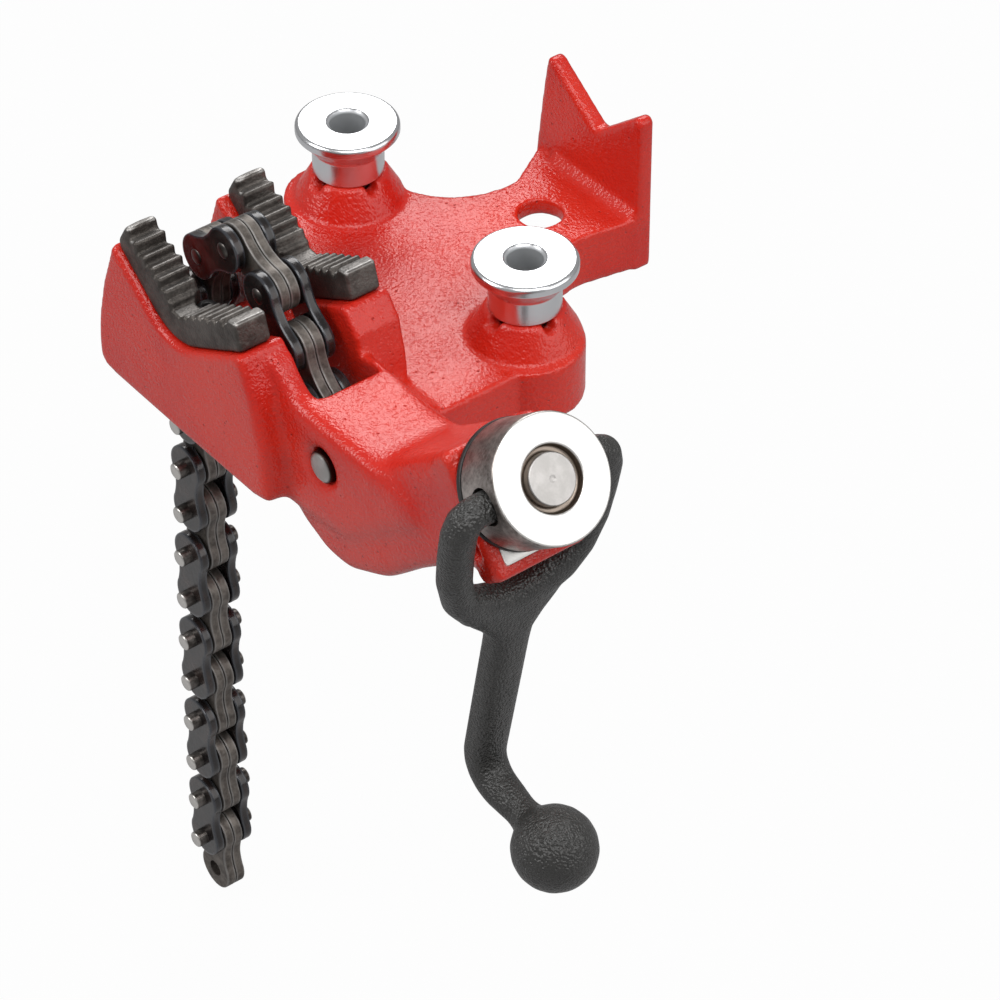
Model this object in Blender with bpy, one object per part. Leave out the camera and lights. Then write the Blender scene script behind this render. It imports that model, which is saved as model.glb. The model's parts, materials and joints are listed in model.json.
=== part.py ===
# Chain pipe vise for the edge of a bench, with its crank hanging and its chain over the jaws.
# Metres, +Z up. The origin is midway between the two spools, on the underside of the bench flange.
# +X is across the vise towards the crank, +Y is along the pipe towards the V rest.

import math

import bmesh
import bpy
from mathutils import Matrix, Vector

for old_object in list(bpy.data.objects):
    bpy.data.objects.remove(old_object, do_unlink=True)

MM = 0.001

# Clearances and cutting allowances
SEAT_GAP = 0.3 * MM
RUNNING_GAP = 0.09 * MM
CUT_OVERRUN = 4.0 * MM
EDGE_BEVEL = 1.4 * MM
SMALL_BEVEL = 0.6 * MM
ROUND_STEPS = 32
PIN_STEPS = 12

# Bench flange
FLANGE_HEIGHT = 21.0 * MM
FLANGE_PLATE = 7.0 * MM
FLANGE_WALL = 6.0 * MM
FLANGE_RIGHT_X = 63.5 * MM
FLANGE_LEFT_X = 31.0 * MM
FLANGE_LEFT_Y = -28.5 * MM
BOSS_FOOT_RADIUS = 19.8 * MM
BOSS_FOOT_OUT = 2.0 * MM
BOSS_FOOT_FORWARD = 1.5 * MM
WAIST_RADIUS = 29.6 * MM
WAIST_CENTRE_X = 49.0 * MM
WAIST_CENTRE_Y = 45.0 * MM
BACK_HOLE_Y = 44.3 * MM
BACK_HOLE_RADIUS = 7.7 * MM
RIB_WIDTH = 8.0 * MM
COLUMN_WALL = 7.0 * MM
WAIST_END_DEG = 170.0
BOSS_LEFT_END_DEG = 262.0
SIDE_WINDOW = 20.0 * MM

# Spools and their bosses
SPOOL_SPACING = 95.0 * MM
SPOOL_RIM_RADIUS = 17.6 * MM
SPOOL_TOP_RADIUS = 16.1 * MM
SPOOL_NECK_RADIUS = 12.1 * MM
SPOOL_FLARE_RADIUS = 13.5 * MM
SPOOL_TOP_Z = 51.5 * MM
SPOOL_RIM_DROP = 1.5 * MM
SPOOL_RIM_HEIGHT = 2.2 * MM
SPOOL_CONE_HEIGHT = 5.8 * MM
SPOOL_BORE_RADIUS = 6.0 * MM
SPOOL_CHAMFER = 1.3 * MM
SPIGOT_RADIUS = 8.6 * MM
SPIGOT_LENGTH = 7.0 * MM
BOSS_TOP_Z = 32.4 * MM
BOSS_TOP_RADIUS = 12.9 * MM
BOSS_BASE_RADIUS = 18.6 * MM
NOTCH_WIDTH = 4.4 * MM
NOTCH_DEPTH = 3.2 * MM

# V rest at the back
REST_FRONT_Y = 67.4 * MM
REST_THICKNESS = 6.2 * MM
REST_HALF_WIDTH = 23.2 * MM
REST_PEAK_Z = 60.5 * MM
REST_NOTCH_Z = 45.0 * MM
REST_PEAK_WIDTH = 2.8 * MM

# Jaws, and the chain's plane halfway between them
CHAIN_Y = -74.6 * MM
JAW_GAP = 30.4 * MM
JAW_WIDTH = 12.0 * MM
JAW_V_X = 0.7 * MM
JAW_V_Z = 46.9 * MM
JAW_LEFT_REACH = 34.1 * MM
JAW_RIGHT_REACH = 33.7 * MM
JAW_SPAN = 68.0 * MM
JAW_DEPTH = 9.7 * MM
JAW_NOTCH_RADIUS = 3.7 * MM
SEAT_LEFT_SLOPE_DEG = 38.5
SEAT_RIGHT_SLOPE_DEG = 28.2
SEAT_RADIUS = 19.5 * MM
JAW_SCREW_RADIUS = 3.3 * MM
JAW_SCREW_SHANK = 1.9 * MM
JAW_SCREW_HEAD = 3.6 * MM
JAW_SCREW_LENGTH = 16.0 * MM
JAW_SCREW_X = -1.2 * MM
JAW_SCREW_TOP_Z = 45.2 * MM
SOCKET_RADIUS = 1.5 * MM
SOCKET_DEPTH = 1.8 * MM

# Jaw walls, slot and bridge
SLOT_WIDTH = 23.0 * MM
WALL_PROUD = 2.2 * MM
WALL_FOOT_Z = 2.0 * MM
BRIDGE_LEFT_X = -5.4 * MM
BRIDGE_FOOT_X = -16.0 * MM
BRIDGE_SHOULDER_Z = 33.0 * MM
BRIDGE_KNEE_Z = 12.0 * MM
BRIDGE_RIGHT_X = 13.0 * MM
BRIDGE_DRAFT = 4.0 * MM
SLOT_END_X = 54.5 * MM
SLOT_CORNER = 5.0 * MM

# Screw housing
BLOCK_TOP_Z = 41.0 * MM
BLOCK_FRONT = 20.4 * MM
BLOCK_BACK = 14.2 * MM
BLOCK_RIGHT_X = 88.0 * MM
HOUSING_HALF_WIDTH = 17.6 * MM
HOUSING_FOOT_Z = -15.3 * MM
CAVITY_ROOF = 8.0 * MM
BOSS_ABOVE = 17.5 * MM
BOSS_BELOW = 18.8 * MM
COLLAR_BELOW = 25.0 * MM
COLLAR_LENGTH = 12.0 * MM
PAD_HALF = 14.2 * MM
PAD_BELOW = 21.7 * MM
PAD_PROUD = 0.6 * MM
KEY_SLOT_WIDTH = 3.0 * MM
KEY_SLOT_LENGTH = 8.0 * MM
KEY_SLOT_DEPTH = 5.0 * MM

# Screw, nut and washer: the axis leans up towards the crank
SCREW_ANGLE_DEG = 38.0
FACE_X = 154.6 * MM
FACE_Z = 68.5 * MM
NUT_RADIUS = 20.25 * MM
NUT_THICKNESS = 19.7 * MM
NUT_CHAMFER = 0.9 * MM
NUT_RECESS_RADIUS = 10.7 * MM
NUT_RECESS_DEPTH = 3.0 * MM
WASHER_THICKNESS = 2.0 * MM
WASHER_RADIUS = 20.4 * MM
SCREW_RADIUS = 7.7 * MM
SCREW_CHAMFER = 0.5 * MM
THREAD_LEAD = 2.3 * MM
EYE_NECK = 10.0 * MM

# Guide pin
GUIDE_PIN_X = 65.1 * MM
GUIDE_PIN_Z = 24.4 * MM
GUIDE_PIN_RADIUS = 5.5 * MM
GUIDE_PIN_PROUD = 0.5 * MM
GUIDE_PIN_CHAMFER = 0.9 * MM

# Crank, in its own plane: "down" runs along the stem from the side holes of the nut
PIVOT_DEPTH = 9.0 * MM
CRANK_HANG_DEG = 41.0
PRONG_RADIUS = 5.3 * MM
PRONG_HOLE_CLEARANCE = 0.9 * MM
PRONG_TIP = 12.6 * MM
ARM_RADIUS = 5.6 * MM
FORK_HALF_WIDTH = 27.6 * MM
FORK_SHIFT = -0.9 * MM
FORK_DROP = 52.0 * MM
STEM_WIDTH = 15.6 * MM
STEM_THICKNESS = 11.0 * MM
STEM_LENGTH = 138.5 * MM
KNOB_OFFSET = 38.2 * MM
KNOB_RADIUS = 14.4 * MM
ELBOW_RADIUS = 11.0 * MM

# Chain
CHAIN_PITCH = 19.05 * MM
LINK_END_RADIUS = 8.0 * MM
LINK_WAIST = 6.1 * MM
INNER_PLATE = 3.5 * MM
LINK_PLAY = 0.65 * MM
OUTER_PLATE = 3.4 * MM
LINK_PIN_RADIUS = 3.0 * MM
RIVET_PROUD = 0.4 * MM
HOOK_PIN_HALF = 11.7 * MM
CREST_RISE = 15.8 * MM
CREST_X = -2.2 * MM
ARCH_TO_SCREW_DEG = (-24.7, -50.5, -57.0, -48.0, -16.0)
ARCH_TO_TAIL_DEG = (217.0, 253.0, 256.0, 266.5, 270.0)
# How far each link lies from the chain's plane, as shares of the play that each joint leaves sideways.
DRIFT_SHARES = (0.0, 1.0, 1.0, 2.0, 2.0, 1.0, 0.0, -1.0, -2.0, -3.0, -4.0, -5.0, -6.0, -7.0, -8.0, -9.0)
TAIL_LINKS = 11

# Sizes worked out from the ones above
screw_direction = Vector((math.cos(math.radians(SCREW_ANGLE_DEG)), 0, math.sin(math.radians(SCREW_ANGLE_DEG))))
screw_normal = Vector((-screw_direction.z, 0, screw_direction.x))
nut_face = Vector((FACE_X, CHAIN_Y, FACE_Z))
boss_end = nut_face - screw_direction * (NUT_THICKNESS + WASHER_THICKNESS + 2 * SEAT_GAP)
seat_drop = JAW_DEPTH + SEAT_GAP
spool_x = SPOOL_SPACING / 2
boss_foot_x = spool_x + BOSS_FOOT_OUT
slot_half = SLOT_WIDTH / 2
wall_half = JAW_GAP / 2 + JAW_WIDTH + WALL_PROUD
jaw_screw_y = JAW_GAP / 2
jaw_screw_seat_z = JAW_SCREW_TOP_Z - JAW_SCREW_HEAD
plate_gap = SEAT_GAP
outer_plate_start = plate_gap / 2 + INNER_PLATE + LINK_PLAY
chain_half = outer_plate_start + OUTER_PLATE


def make_material(name, colour, roughness, metallic):
    material = bpy.data.materials.new(name)
    material.use_nodes = True
    shader = material.node_tree.nodes["Principled BSDF"]
    shader.inputs["Base Color"].default_value = (*colour, 1)
    shader.inputs["Roughness"].default_value = roughness
    shader.inputs["Metallic"].default_value = metallic
    return material


red_enamel = make_material("red_enamel", (0.62, 0.02, 0.015), 0.28, 0.0)
jaw_steel = make_material("jaw_steel", (0.16, 0.14, 0.13), 0.42, 0.9)
plated_steel = make_material("plated_steel", (0.78, 0.79, 0.8), 0.2, 1.0)
nut_plating = make_material("nut_plating", (0.72, 0.7, 0.67), 0.3, 1.0)
dark_steel = make_material("dark_steel", (0.03, 0.03, 0.03), 0.4, 0.7)
screw_steel = make_material("screw_steel", (0.55, 0.54, 0.52), 0.35, 1.0)
crank_coating = make_material("crank_coating", (0.025, 0.027, 0.03), 0.5, 0.2)
black_plate = make_material("black_plate", (0.02, 0.02, 0.022), 0.25, 0.8)
link_steel = make_material("link_steel", (0.2, 0.18, 0.16), 0.4, 0.9)


def object_from(bm, name, material=None):
    bmesh.ops.recalc_face_normals(bm, faces=bm.faces)
    mesh = bpy.data.meshes.new(name)
    bm.to_mesh(mesh)
    bm.free()
    obj = bpy.data.objects.new(name, mesh)
    bpy.context.collection.objects.link(obj)
    if material:
        mesh.materials.append(material)
    return obj


def prism(name, outline, lift, depth, material=None):
    """Extrude a closed outline. lift(u, v, w) gives the point at (u, v) of the outline and w of the depth."""
    bm = bmesh.new()
    near, far = depth
    base = [bm.verts.new(lift(u, v, near)) for u, v in outline]
    top = [bm.verts.new(lift(u, v, far)) for u, v in outline]
    bm.faces.new(base)
    bm.faces.new(list(reversed(top)))
    count = len(outline)
    for i in range(count):
        j = (i + 1) % count
        bm.faces.new((base[j], base[i], top[i], top[j]))
    return object_from(bm, name, material)


def across(u, v, w):
    """Outline seen from the front (X, Z), extruded along Y."""
    return Vector((u, w, v))


def upward(u, v, w):
    """Outline seen from above (X, Y), extruded along Z."""
    return Vector((u, v, w))


def sideways(u, v, w):
    """Outline seen from the right (Y, Z), extruded along X."""
    return Vector((w, u, v))


def along_screw(u, v, w):
    """Outline across the screw's axis (Y from the chain's plane, then up), extruded along the axis."""
    return nut_face + Vector((0, u, 0)) + screw_normal * v + screw_direction * w


def screw_side(along, above):
    """A point (X, Z) given by its distance along the screw from the nut's face, and above the axis."""
    point = nut_face + screw_direction * along + screw_normal * above
    return point.x, point.z


def arc(centre, radius, start_deg, end_deg, steps):
    points = []
    for i in range(steps + 1):
        angle = math.radians(start_deg + (end_deg - start_deg) * i / steps)
        points.append((centre[0] + radius * math.cos(angle), centre[1] + radius * math.sin(angle)))
    return points


def turned(name, profile, place, steps=ROUND_STEPS, material=None):
    """Turn a profile of (radius, height) pairs about the local Z axis of place.

    A profile that touches the axis is capped at both ends. Any other closes on itself, round a bore."""
    bm = bmesh.new()
    rings = []
    for radius, height in profile:
        if radius == 0:
            continue
        ring = []
        for i in range(steps):
            angle = 2 * math.pi * (i + 0.5) / steps
            ring.append(bm.verts.new(place @ Vector((radius * math.cos(angle), radius * math.sin(angle), height))))
        rings.append(ring)
    capped = len(rings) < len(profile)
    pairs = list(zip(rings, rings[1:]))
    if capped:
        bm.faces.new(list(reversed(rings[0])))
        bm.faces.new(rings[-1])
    else:
        pairs.append((rings[-1], rings[0]))
    for first, second in pairs:
        for i in range(steps):
            j = (i + 1) % steps
            bm.faces.new((first[i], first[j], second[j], second[i]))
    return object_from(bm, name, material)


def axis_place(origin, direction):
    return Matrix.Translation(origin) @ direction.to_track_quat("Z", "Y").to_matrix().to_4x4()


def rod(name, start, end, radius, steps=ROUND_STEPS, chamfer=0.0, material=None):
    length = (end - start).length
    profile = [(0, 0), (radius - chamfer, 0), (radius, chamfer), (radius, length - chamfer),
               (radius - chamfer, length), (0, length)]
    if chamfer == 0:
        profile = [(0, 0), (radius, 0), (radius, length), (0, length)]
    return turned(name, profile, axis_place(start, end - start), steps, material)


def bevel(obj, width, segments=2, angle_deg=30.0):
    modifier = obj.modifiers.new("rounding", "BEVEL")
    modifier.width = width
    modifier.segments = segments
    modifier.limit_method = "ANGLE"
    modifier.angle_limit = math.radians(angle_deg)
    return obj


def boolean(target, tools, operation):
    for tool in tools:
        tool.hide_render = True
        tool.display_type = "WIRE"
        modifier = target.modifiers.new(tool.name, "BOOLEAN")
        modifier.operation = operation
        modifier.object = tool
        modifier.solver = "EXACT"
    return target


def join(target, *tools):
    return boolean(target, tools, "UNION")


def cut(target, *tools):
    return boolean(target, tools, "DIFFERENCE")


def smooth(obj, angle_deg=35.0):
    obj.data.shade_smooth()
    obj.data.set_sharp_from_angle(angle=math.radians(angle_deg))
    return obj


def pivot_at(obj, point):
    """Move the object's origin to a point without moving its mesh."""
    obj.data.transform(Matrix.Translation(-point))
    obj.location = point
    return obj


def v_line(left_slope_deg, right_slope_deg, left_x, right_x, bottom, radius, steps=8):
    """The rounded V that the jaws sit in, from right to left. bottom is the lowest point of the round."""
    left, right = math.radians(left_slope_deg), math.radians(right_slope_deg)
    centre = (bottom[0], bottom[1] + radius)
    round_part = arc(centre, radius, -90 + right_slope_deg, -90 - left_slope_deg, steps)
    first, last = round_part[0], round_part[-1]
    right_end = (right_x, first[1] + (right_x - first[0]) * math.tan(right))
    left_end = (left_x, last[1] + (last[0] - left_x) * math.tan(left))
    return [right_end, *round_part, left_end]


seat_bottom = (JAW_SCREW_X, JAW_V_Z - seat_drop)
jaw_left_x = JAW_V_X - JAW_LEFT_REACH
jaw_right_x = JAW_V_X + JAW_RIGHT_REACH
seat_line = v_line(SEAT_LEFT_SLOPE_DEG, SEAT_RIGHT_SLOPE_DEG, jaw_left_x, jaw_right_x, seat_bottom, SEAT_RADIUS)


# Jaws

# The toothed side of a jaw, from its left tip to its right end. Both values of each point are shares of
# the jaw's span, measured from the land at the bottom of the V.
TEETH_SHARES = (
    (-0.434, 0.271), (-0.400, 0.274), (-0.396, 0.215), (-0.340, 0.229), (-0.334, 0.166), (-0.272, 0.191),
    (-0.265, 0.141), (-0.209, 0.166), (-0.201, 0.116), (-0.157, 0.131), (-0.151, 0.076), (-0.112, 0.088),
    (-0.094, 0.044), (-0.074, 0.041), (-0.065, 0.003), (0.000, 0.000), (0.029, 0.029), (0.056, 0.022),
    (0.087, 0.072), (0.110, 0.049), (0.143, 0.103), (0.172, 0.087), (0.203, 0.135), (0.234, 0.112),
    (0.260, 0.163), (0.288, 0.138), (0.324, 0.199), (0.359, 0.169), (0.394, 0.232), (0.453, 0.240))


def jaw_outline():
    """Front view of a jaw: its rounded back lies on the seat, and its teeth face the pipe."""
    back = v_line(SEAT_LEFT_SLOPE_DEG, SEAT_RIGHT_SLOPE_DEG, jaw_left_x, jaw_right_x,
                  (seat_bottom[0], seat_bottom[1] + SEAT_GAP * 1.3), SEAT_RADIUS)
    teeth = [(JAW_V_X + JAW_SPAN * u, JAW_V_Z + JAW_SPAN * v) for u, v in TEETH_SHARES]
    return teeth + back


def make_jaw(name, side):
    """side is -1 for the jaw in front of the chain and +1 for the one behind it."""
    inner = CHAIN_Y + side * JAW_GAP / 2
    outer = inner + side * JAW_WIDTH
    jaw = prism(name, jaw_outline(), across, (inner, outer), jaw_steel)
    bevel(jaw, SMALL_BEVEL, 1, 60)
    top = JAW_V_Z + JAW_DEPTH
    low = Vector((JAW_SCREW_X, inner, seat_bottom[1] - CUT_OVERRUN))
    shoulder_at = Vector((JAW_SCREW_X, inner, jaw_screw_seat_z - SEAT_GAP))
    high = Vector((JAW_SCREW_X, inner, top))
    cut(jaw, rod(name + "_notch", shoulder_at, high, JAW_NOTCH_RADIUS, PIN_STEPS))
    cut(jaw, rod(name + "_screw_way", low, shoulder_at + Vector((0, 0, CUT_OVERRUN)), JAW_SCREW_SHANK + SEAT_GAP * 1.3, PIN_STEPS))
    return jaw


front_jaw = make_jaw("front_jaw", -1)
rear_jaw = make_jaw("rear_jaw", 1)


def jaw_screw_solid(name, side, material=None):
    """A socket screw: its head clamps the jaw, and its shank goes down into the casting."""
    place = Matrix.Translation((JAW_SCREW_X, CHAIN_Y + side * jaw_screw_y, jaw_screw_seat_z))
    shank = JAW_SCREW_SHANK
    profile = [(0, -JAW_SCREW_LENGTH), (shank, -JAW_SCREW_LENGTH), (shank, 0),
               (JAW_SCREW_RADIUS, 0), (JAW_SCREW_RADIUS, JAW_SCREW_HEAD), (SOCKET_RADIUS, JAW_SCREW_HEAD),
               (SOCKET_RADIUS, JAW_SCREW_HEAD - SOCKET_DEPTH), (0, JAW_SCREW_HEAD - SOCKET_DEPTH)]
    return turned(name, profile, place, PIN_STEPS, material)


front_jaw_screw = jaw_screw_solid("front_jaw_screw", -1, dark_steel)
rear_jaw_screw = jaw_screw_solid("rear_jaw_screw", 1, dark_steel)


# Base casting

# The rest's left edge spreads towards its foot: shares of the half width and of the peak's height.
REST_EDGE_SHARES = ((1.3, 0.0), (1.38, 0.25), (1.36, 0.36), (1.3, 0.53), (1.24, 0.7), (1.18, 0.85))


def boss_arc(side, start_deg, end_deg, steps=14):
    return arc((side * boss_foot_x, -BOSS_FOOT_FORWARD), BOSS_FOOT_RADIUS, start_deg, end_deg, steps)


def waist_arc(side, start_deg, end_deg, steps=8):
    return arc((side * WAIST_CENTRE_X, WAIST_CENTRE_Y), WAIST_RADIUS, start_deg, end_deg, steps)


def meeting_angles():
    """Angles at which the round of a boss meets the round of the waist, seen from each centre."""
    offset = Vector((WAIST_CENTRE_X - boss_foot_x, WAIST_CENTRE_Y + BOSS_FOOT_FORWARD))
    distance = offset.length
    heading = math.degrees(math.atan2(offset.y, offset.x))
    share = (distance ** 2 + BOSS_FOOT_RADIUS ** 2 - WAIST_RADIUS ** 2) / (2 * distance * BOSS_FOOT_RADIUS)
    boss_angle = heading + math.degrees(math.acos(share))
    meet = Vector((boss_foot_x + BOSS_FOOT_RADIUS * math.cos(math.radians(boss_angle)),
                   BOSS_FOOT_RADIUS * math.sin(math.radians(boss_angle)) - BOSS_FOOT_FORWARD))
    waist_angle = math.degrees(math.atan2(meet.y - WAIST_CENTRE_Y, meet.x - WAIST_CENTRE_X)) % 360
    return boss_angle, waist_angle


def flange_outline(with_rest=True):
    boss_end_deg, waist_start_deg = meeting_angles()
    front_y = CHAIN_Y + slot_half + (wall_half - slot_half) / 2
    rest_back = REST_FRONT_Y + REST_THICKNESS
    front_deg = math.degrees(math.acos(max(-1, min(1, (FLANGE_RIGHT_X - boss_foot_x) / BOSS_FOOT_RADIUS))))
    right = [(FLANGE_RIGHT_X, front_y)]
    right += boss_arc(1, -front_deg, boss_end_deg)
    right += waist_arc(1, waist_start_deg, WAIST_END_DEG)[1:]
    left = []
    if with_rest:
        right += [(REST_HALF_WIDTH, REST_FRONT_Y), (REST_HALF_WIDTH, rest_back)]
        left_end = -REST_HALF_WIDTH * REST_EDGE_SHARES[0][0]
        left += [(left_end, rest_back), (left_end, REST_FRONT_Y)]
    left += waist_arc(-1, 180 - WAIST_END_DEG, 180 - waist_start_deg)
    left += boss_arc(-1, 180 - boss_end_deg, BOSS_LEFT_END_DEG)[1:]
    left += [(-FLANGE_LEFT_X, FLANGE_LEFT_Y), (-FLANGE_LEFT_X, front_y)]
    return right + left


flange = prism("base_casting", flange_outline(), upward, (0, FLANGE_HEIGHT), red_enamel)
base_casting = flange

# The flange is hollow underneath: a thinner copy of its outline is cut out, set in by the wall.
bench_hollow = prism("bench_hollow", flange_outline(False), upward, (-CUT_OVERRUN, FLANGE_HEIGHT - FLANGE_PLATE))


def inset_outline(obj, distance):
    """Move every upright side of a prism inwards, so that its copy leaves a wall."""
    mesh = obj.data
    count = len(mesh.vertices) // 2
    points = [mesh.vertices[i].co.to_2d() for i in range(count)]
    area = sum(points[i].cross(points[(i + 1) % count]) for i in range(count))
    turn = 1 if area > 0 else -1
    moved = []
    for i in range(count):
        before = (points[i] - points[i - 1]).normalized()
        after = (points[(i + 1) % count] - points[i]).normalized()
        inward_a = Vector((-before.y, before.x)) * turn
        inward_b = Vector((-after.y, after.x)) * turn
        middle = (inward_a + inward_b).normalized()
        moved.append(points[i] + middle * distance / max(middle.dot(inward_a), 0.5))
    for i in range(count):
        for k in (i, i + count):
            mesh.vertices[k].co.x = moved[i].x
            mesh.vertices[k].co.y = moved[i].y


inset_outline(bench_hollow, FLANGE_WALL)
# The hollow goes on behind the back hole and out through the left wall, so that the hole looks out on the ground.
waist_x = WAIST_CENTRE_X - WAIST_RADIUS
window_left, window_right = -waist_x - SIDE_WINDOW / 2, waist_x - FLANGE_WALL
window_front, window_back = BACK_HOLE_Y - SIDE_WINDOW / 2, REST_FRONT_Y - FLANGE_WALL / 2
window_outline = [(window_left, window_front), (window_right, window_front),
                  (window_right, window_back), (window_left, window_back)]
side_window = prism("side_window", window_outline, upward, (-CUT_OVERRUN, FLANGE_HEIGHT - FLANGE_PLATE))
cut(base_casting, bench_hollow, side_window)


def column(name, x, y, radius):
    return rod(name, Vector((x, y, 0)), Vector((x, y, FLANGE_HEIGHT - FLANGE_PLATE / 2)), radius, 24)


spool_column_radius = SPOOL_BORE_RADIUS + COLUMN_WALL
join(base_casting,
     column("left_column", -spool_x, 0, spool_column_radius),
     column("right_column", spool_x, 0, spool_column_radius),
     column("origin_column", 0, 0, RIB_WIDTH))


def rib(name, x_range, y_range):
    outline = [(x_range[0], y_range[0]), (x_range[1], y_range[0]), (x_range[1], y_range[1]), (x_range[0], y_range[1])]
    return prism(name, outline, upward, (0, FLANGE_HEIGHT - FLANGE_PLATE / 2))


join(base_casting,
     rib("cross_rib", (-spool_x, spool_x), (-RIB_WIDTH / 2, RIB_WIDTH / 2)),
     rib("long_rib", (-RIB_WIDTH / 2, RIB_WIDTH / 2), (FLANGE_LEFT_Y - FLANGE_WALL, BACK_HOLE_Y - BACK_HOLE_RADIUS * 1.5)))


def spool_boss(name, x):
    top = BOSS_TOP_Z
    flare = BOSS_BASE_RADIUS + SEAT_GAP
    profile = [(0, FLANGE_HEIGHT - FLANGE_PLATE / 2), (flare, FLANGE_HEIGHT - FLANGE_PLATE / 2),
               (flare, FLANGE_HEIGHT), (BOSS_BASE_RADIUS, FLANGE_HEIGHT + SPOOL_CHAMFER),
               (BOSS_TOP_RADIUS, top), (0, top)]
    return turned(name, profile, Matrix.Translation((x, 0, 0)))


join(base_casting, spool_boss("left_boss", -spool_x), spool_boss("right_boss", spool_x))


def rest_outline():
    peak = REST_PEAK_WIDTH
    half = REST_HALF_WIDTH
    left = [(-half * u, REST_PEAK_Z * v) for u, v in REST_EDGE_SHARES]
    return [*reversed(left), (half, 0), (half, REST_PEAK_Z - peak / 2), (half - peak / 2, REST_PEAK_Z),
            (half - peak, REST_PEAK_Z), (peak / 2, REST_NOTCH_Z), (-peak / 2, REST_NOTCH_Z),
            (-half - peak / 8, REST_PEAK_Z), (-half - peak / 2, REST_PEAK_Z), (-half - peak, REST_PEAK_Z - peak / 2)]


rest = prism("pipe_rest", rest_outline(), across, (REST_FRONT_Y, REST_FRONT_Y + REST_THICKNESS))
bevel(rest, EDGE_BEVEL)
fillet = FLANGE_PLATE / 2
rest_fillet = prism("rest_fillet", [(REST_FRONT_Y - fillet, FLANGE_HEIGHT - fillet), (REST_FRONT_Y + fillet, FLANGE_HEIGHT - fillet),
                                    (REST_FRONT_Y + fillet, FLANGE_HEIGHT + fillet), (REST_FRONT_Y, FLANGE_HEIGHT + fillet),
                                    (REST_FRONT_Y - fillet, FLANGE_HEIGHT)],
                    sideways, (-REST_HALF_WIDTH + EDGE_BEVEL, REST_HALF_WIDTH - EDGE_BEVEL))
join(base_casting, rest, rest_fillet)

# Outline of the wall's left edge, from its foot up, as shares of the jaw's left reach and of the seat's height there.
WALL_EDGE_SHARES = ((1.1, 0.035), (1.26, 0.05), (1.33, 0.1), (1.345, 0.2), (1.31, 0.4), (1.205, 0.66), (1.07, 0.88))
wall_left_top = seat_line[-1]
wall_edge = [(JAW_V_X - JAW_LEFT_REACH * u, wall_left_top[1] * v) for u, v in WALL_EDGE_SHARES]

# Right ends of the walls, as shares of the way from the jaw's right end to the slot's end, and of its height.
# The front wall ends in a slanted edge that stands proud of the housing, whose part of it runs on to the right.
PROUD_SHARES = ((0.08, 1.0), (0.38, 0.77), (0.68, 0.4), (0.72, 0.03))
NEAR_SHARES = ((0.05, 0.985), (0.3, 0.92), (0.55, 0.84), (0.8, 0.785), (1.05, 0.72), (1.05, 0.005), (-0.6, 0.005), (-0.6, 0.6))
FAR_SHARES = ((0.06, 1.0), (0.36, 0.86), (0.52, 0.62), (0.58, 0.38), (0.58, 0.0))
seat_right_top = seat_line[0]
end_run = SLOT_END_X - jaw_right_x
proud_inner_y = CHAIN_Y - BLOCK_FRONT


def right_end(shares):
    return [(jaw_right_x + end_run * u, seat_right_top[1] * v) for u, v in shares]


def make_wall(name, shares, y_range):
    """One jaw wall, in front view: right end from the top down, foot, left edge and seat."""
    outline = [*right_end(shares), (JAW_V_X, WALL_FOOT_Z * 0.8), *wall_edge, *reversed(seat_line)]
    return bevel(prism(name, outline, across, y_range), EDGE_BEVEL, 2, 40)


proud_wall = make_wall("proud_wall", PROUD_SHARES, (CHAIN_Y - wall_half, CHAIN_Y - slot_half + CUT_OVERRUN))
near_wall = bevel(prism("near_wall", right_end(NEAR_SHARES), across,
                        (proud_inner_y + SMALL_BEVEL, CHAIN_Y - slot_half + CUT_OVERRUN)), EDGE_BEVEL, 2, 40)
far_wall = make_wall("far_wall", FAR_SHARES, (CHAIN_Y + slot_half - CUT_OVERRUN, CHAIN_Y + wall_half))

# The bridge joins the two walls under the jaws, between the chain's two ways through the slot.
bridge_top = seat_bottom[1]
bridge_outline = [(BRIDGE_FOOT_X - BRIDGE_DRAFT, WALL_FOOT_Z), (BRIDGE_RIGHT_X + BRIDGE_DRAFT, WALL_FOOT_Z),
                  (BRIDGE_RIGHT_X + BRIDGE_DRAFT, bridge_top - SEAT_GAP * 2),
                  (BRIDGE_FOOT_X - BRIDGE_DRAFT, bridge_top - SEAT_GAP * 2)]
bridge = prism("bridge", bridge_outline, across, (CHAIN_Y - slot_half - CUT_OVERRUN, CHAIN_Y + slot_half + CUT_OVERRUN))

# Housing of the screw: a block with a flat top, a keel under it, and a square boss along the screw.
block_low_side = screw_side(-(nut_face - boss_end).length - COLLAR_LENGTH * 2.6, -PIN_STEPS * SMALL_BEVEL / 2)
block_outline = [(jaw_right_x + EDGE_BEVEL, WALL_FOOT_Z), (SLOT_END_X - SLOT_CORNER, -WALL_FOOT_Z), (GUIDE_PIN_X + COLLAR_LENGTH, WALL_FOOT_Z), block_low_side,
                 (block_low_side[0] - COLLAR_LENGTH / 2, BLOCK_TOP_Z), (SLOT_END_X - SLOT_CORNER, BLOCK_TOP_Z),
                 (jaw_right_x + EDGE_BEVEL, BLOCK_TOP_Z - BRIDGE_DRAFT)]
block = prism("block", block_outline, across, (CHAIN_Y - BLOCK_FRONT, CHAIN_Y + BLOCK_BACK))
bevel(block, EDGE_BEVEL * 1.6, 3, 35)

pad_distance = -(nut_face - boss_end).length
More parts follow.
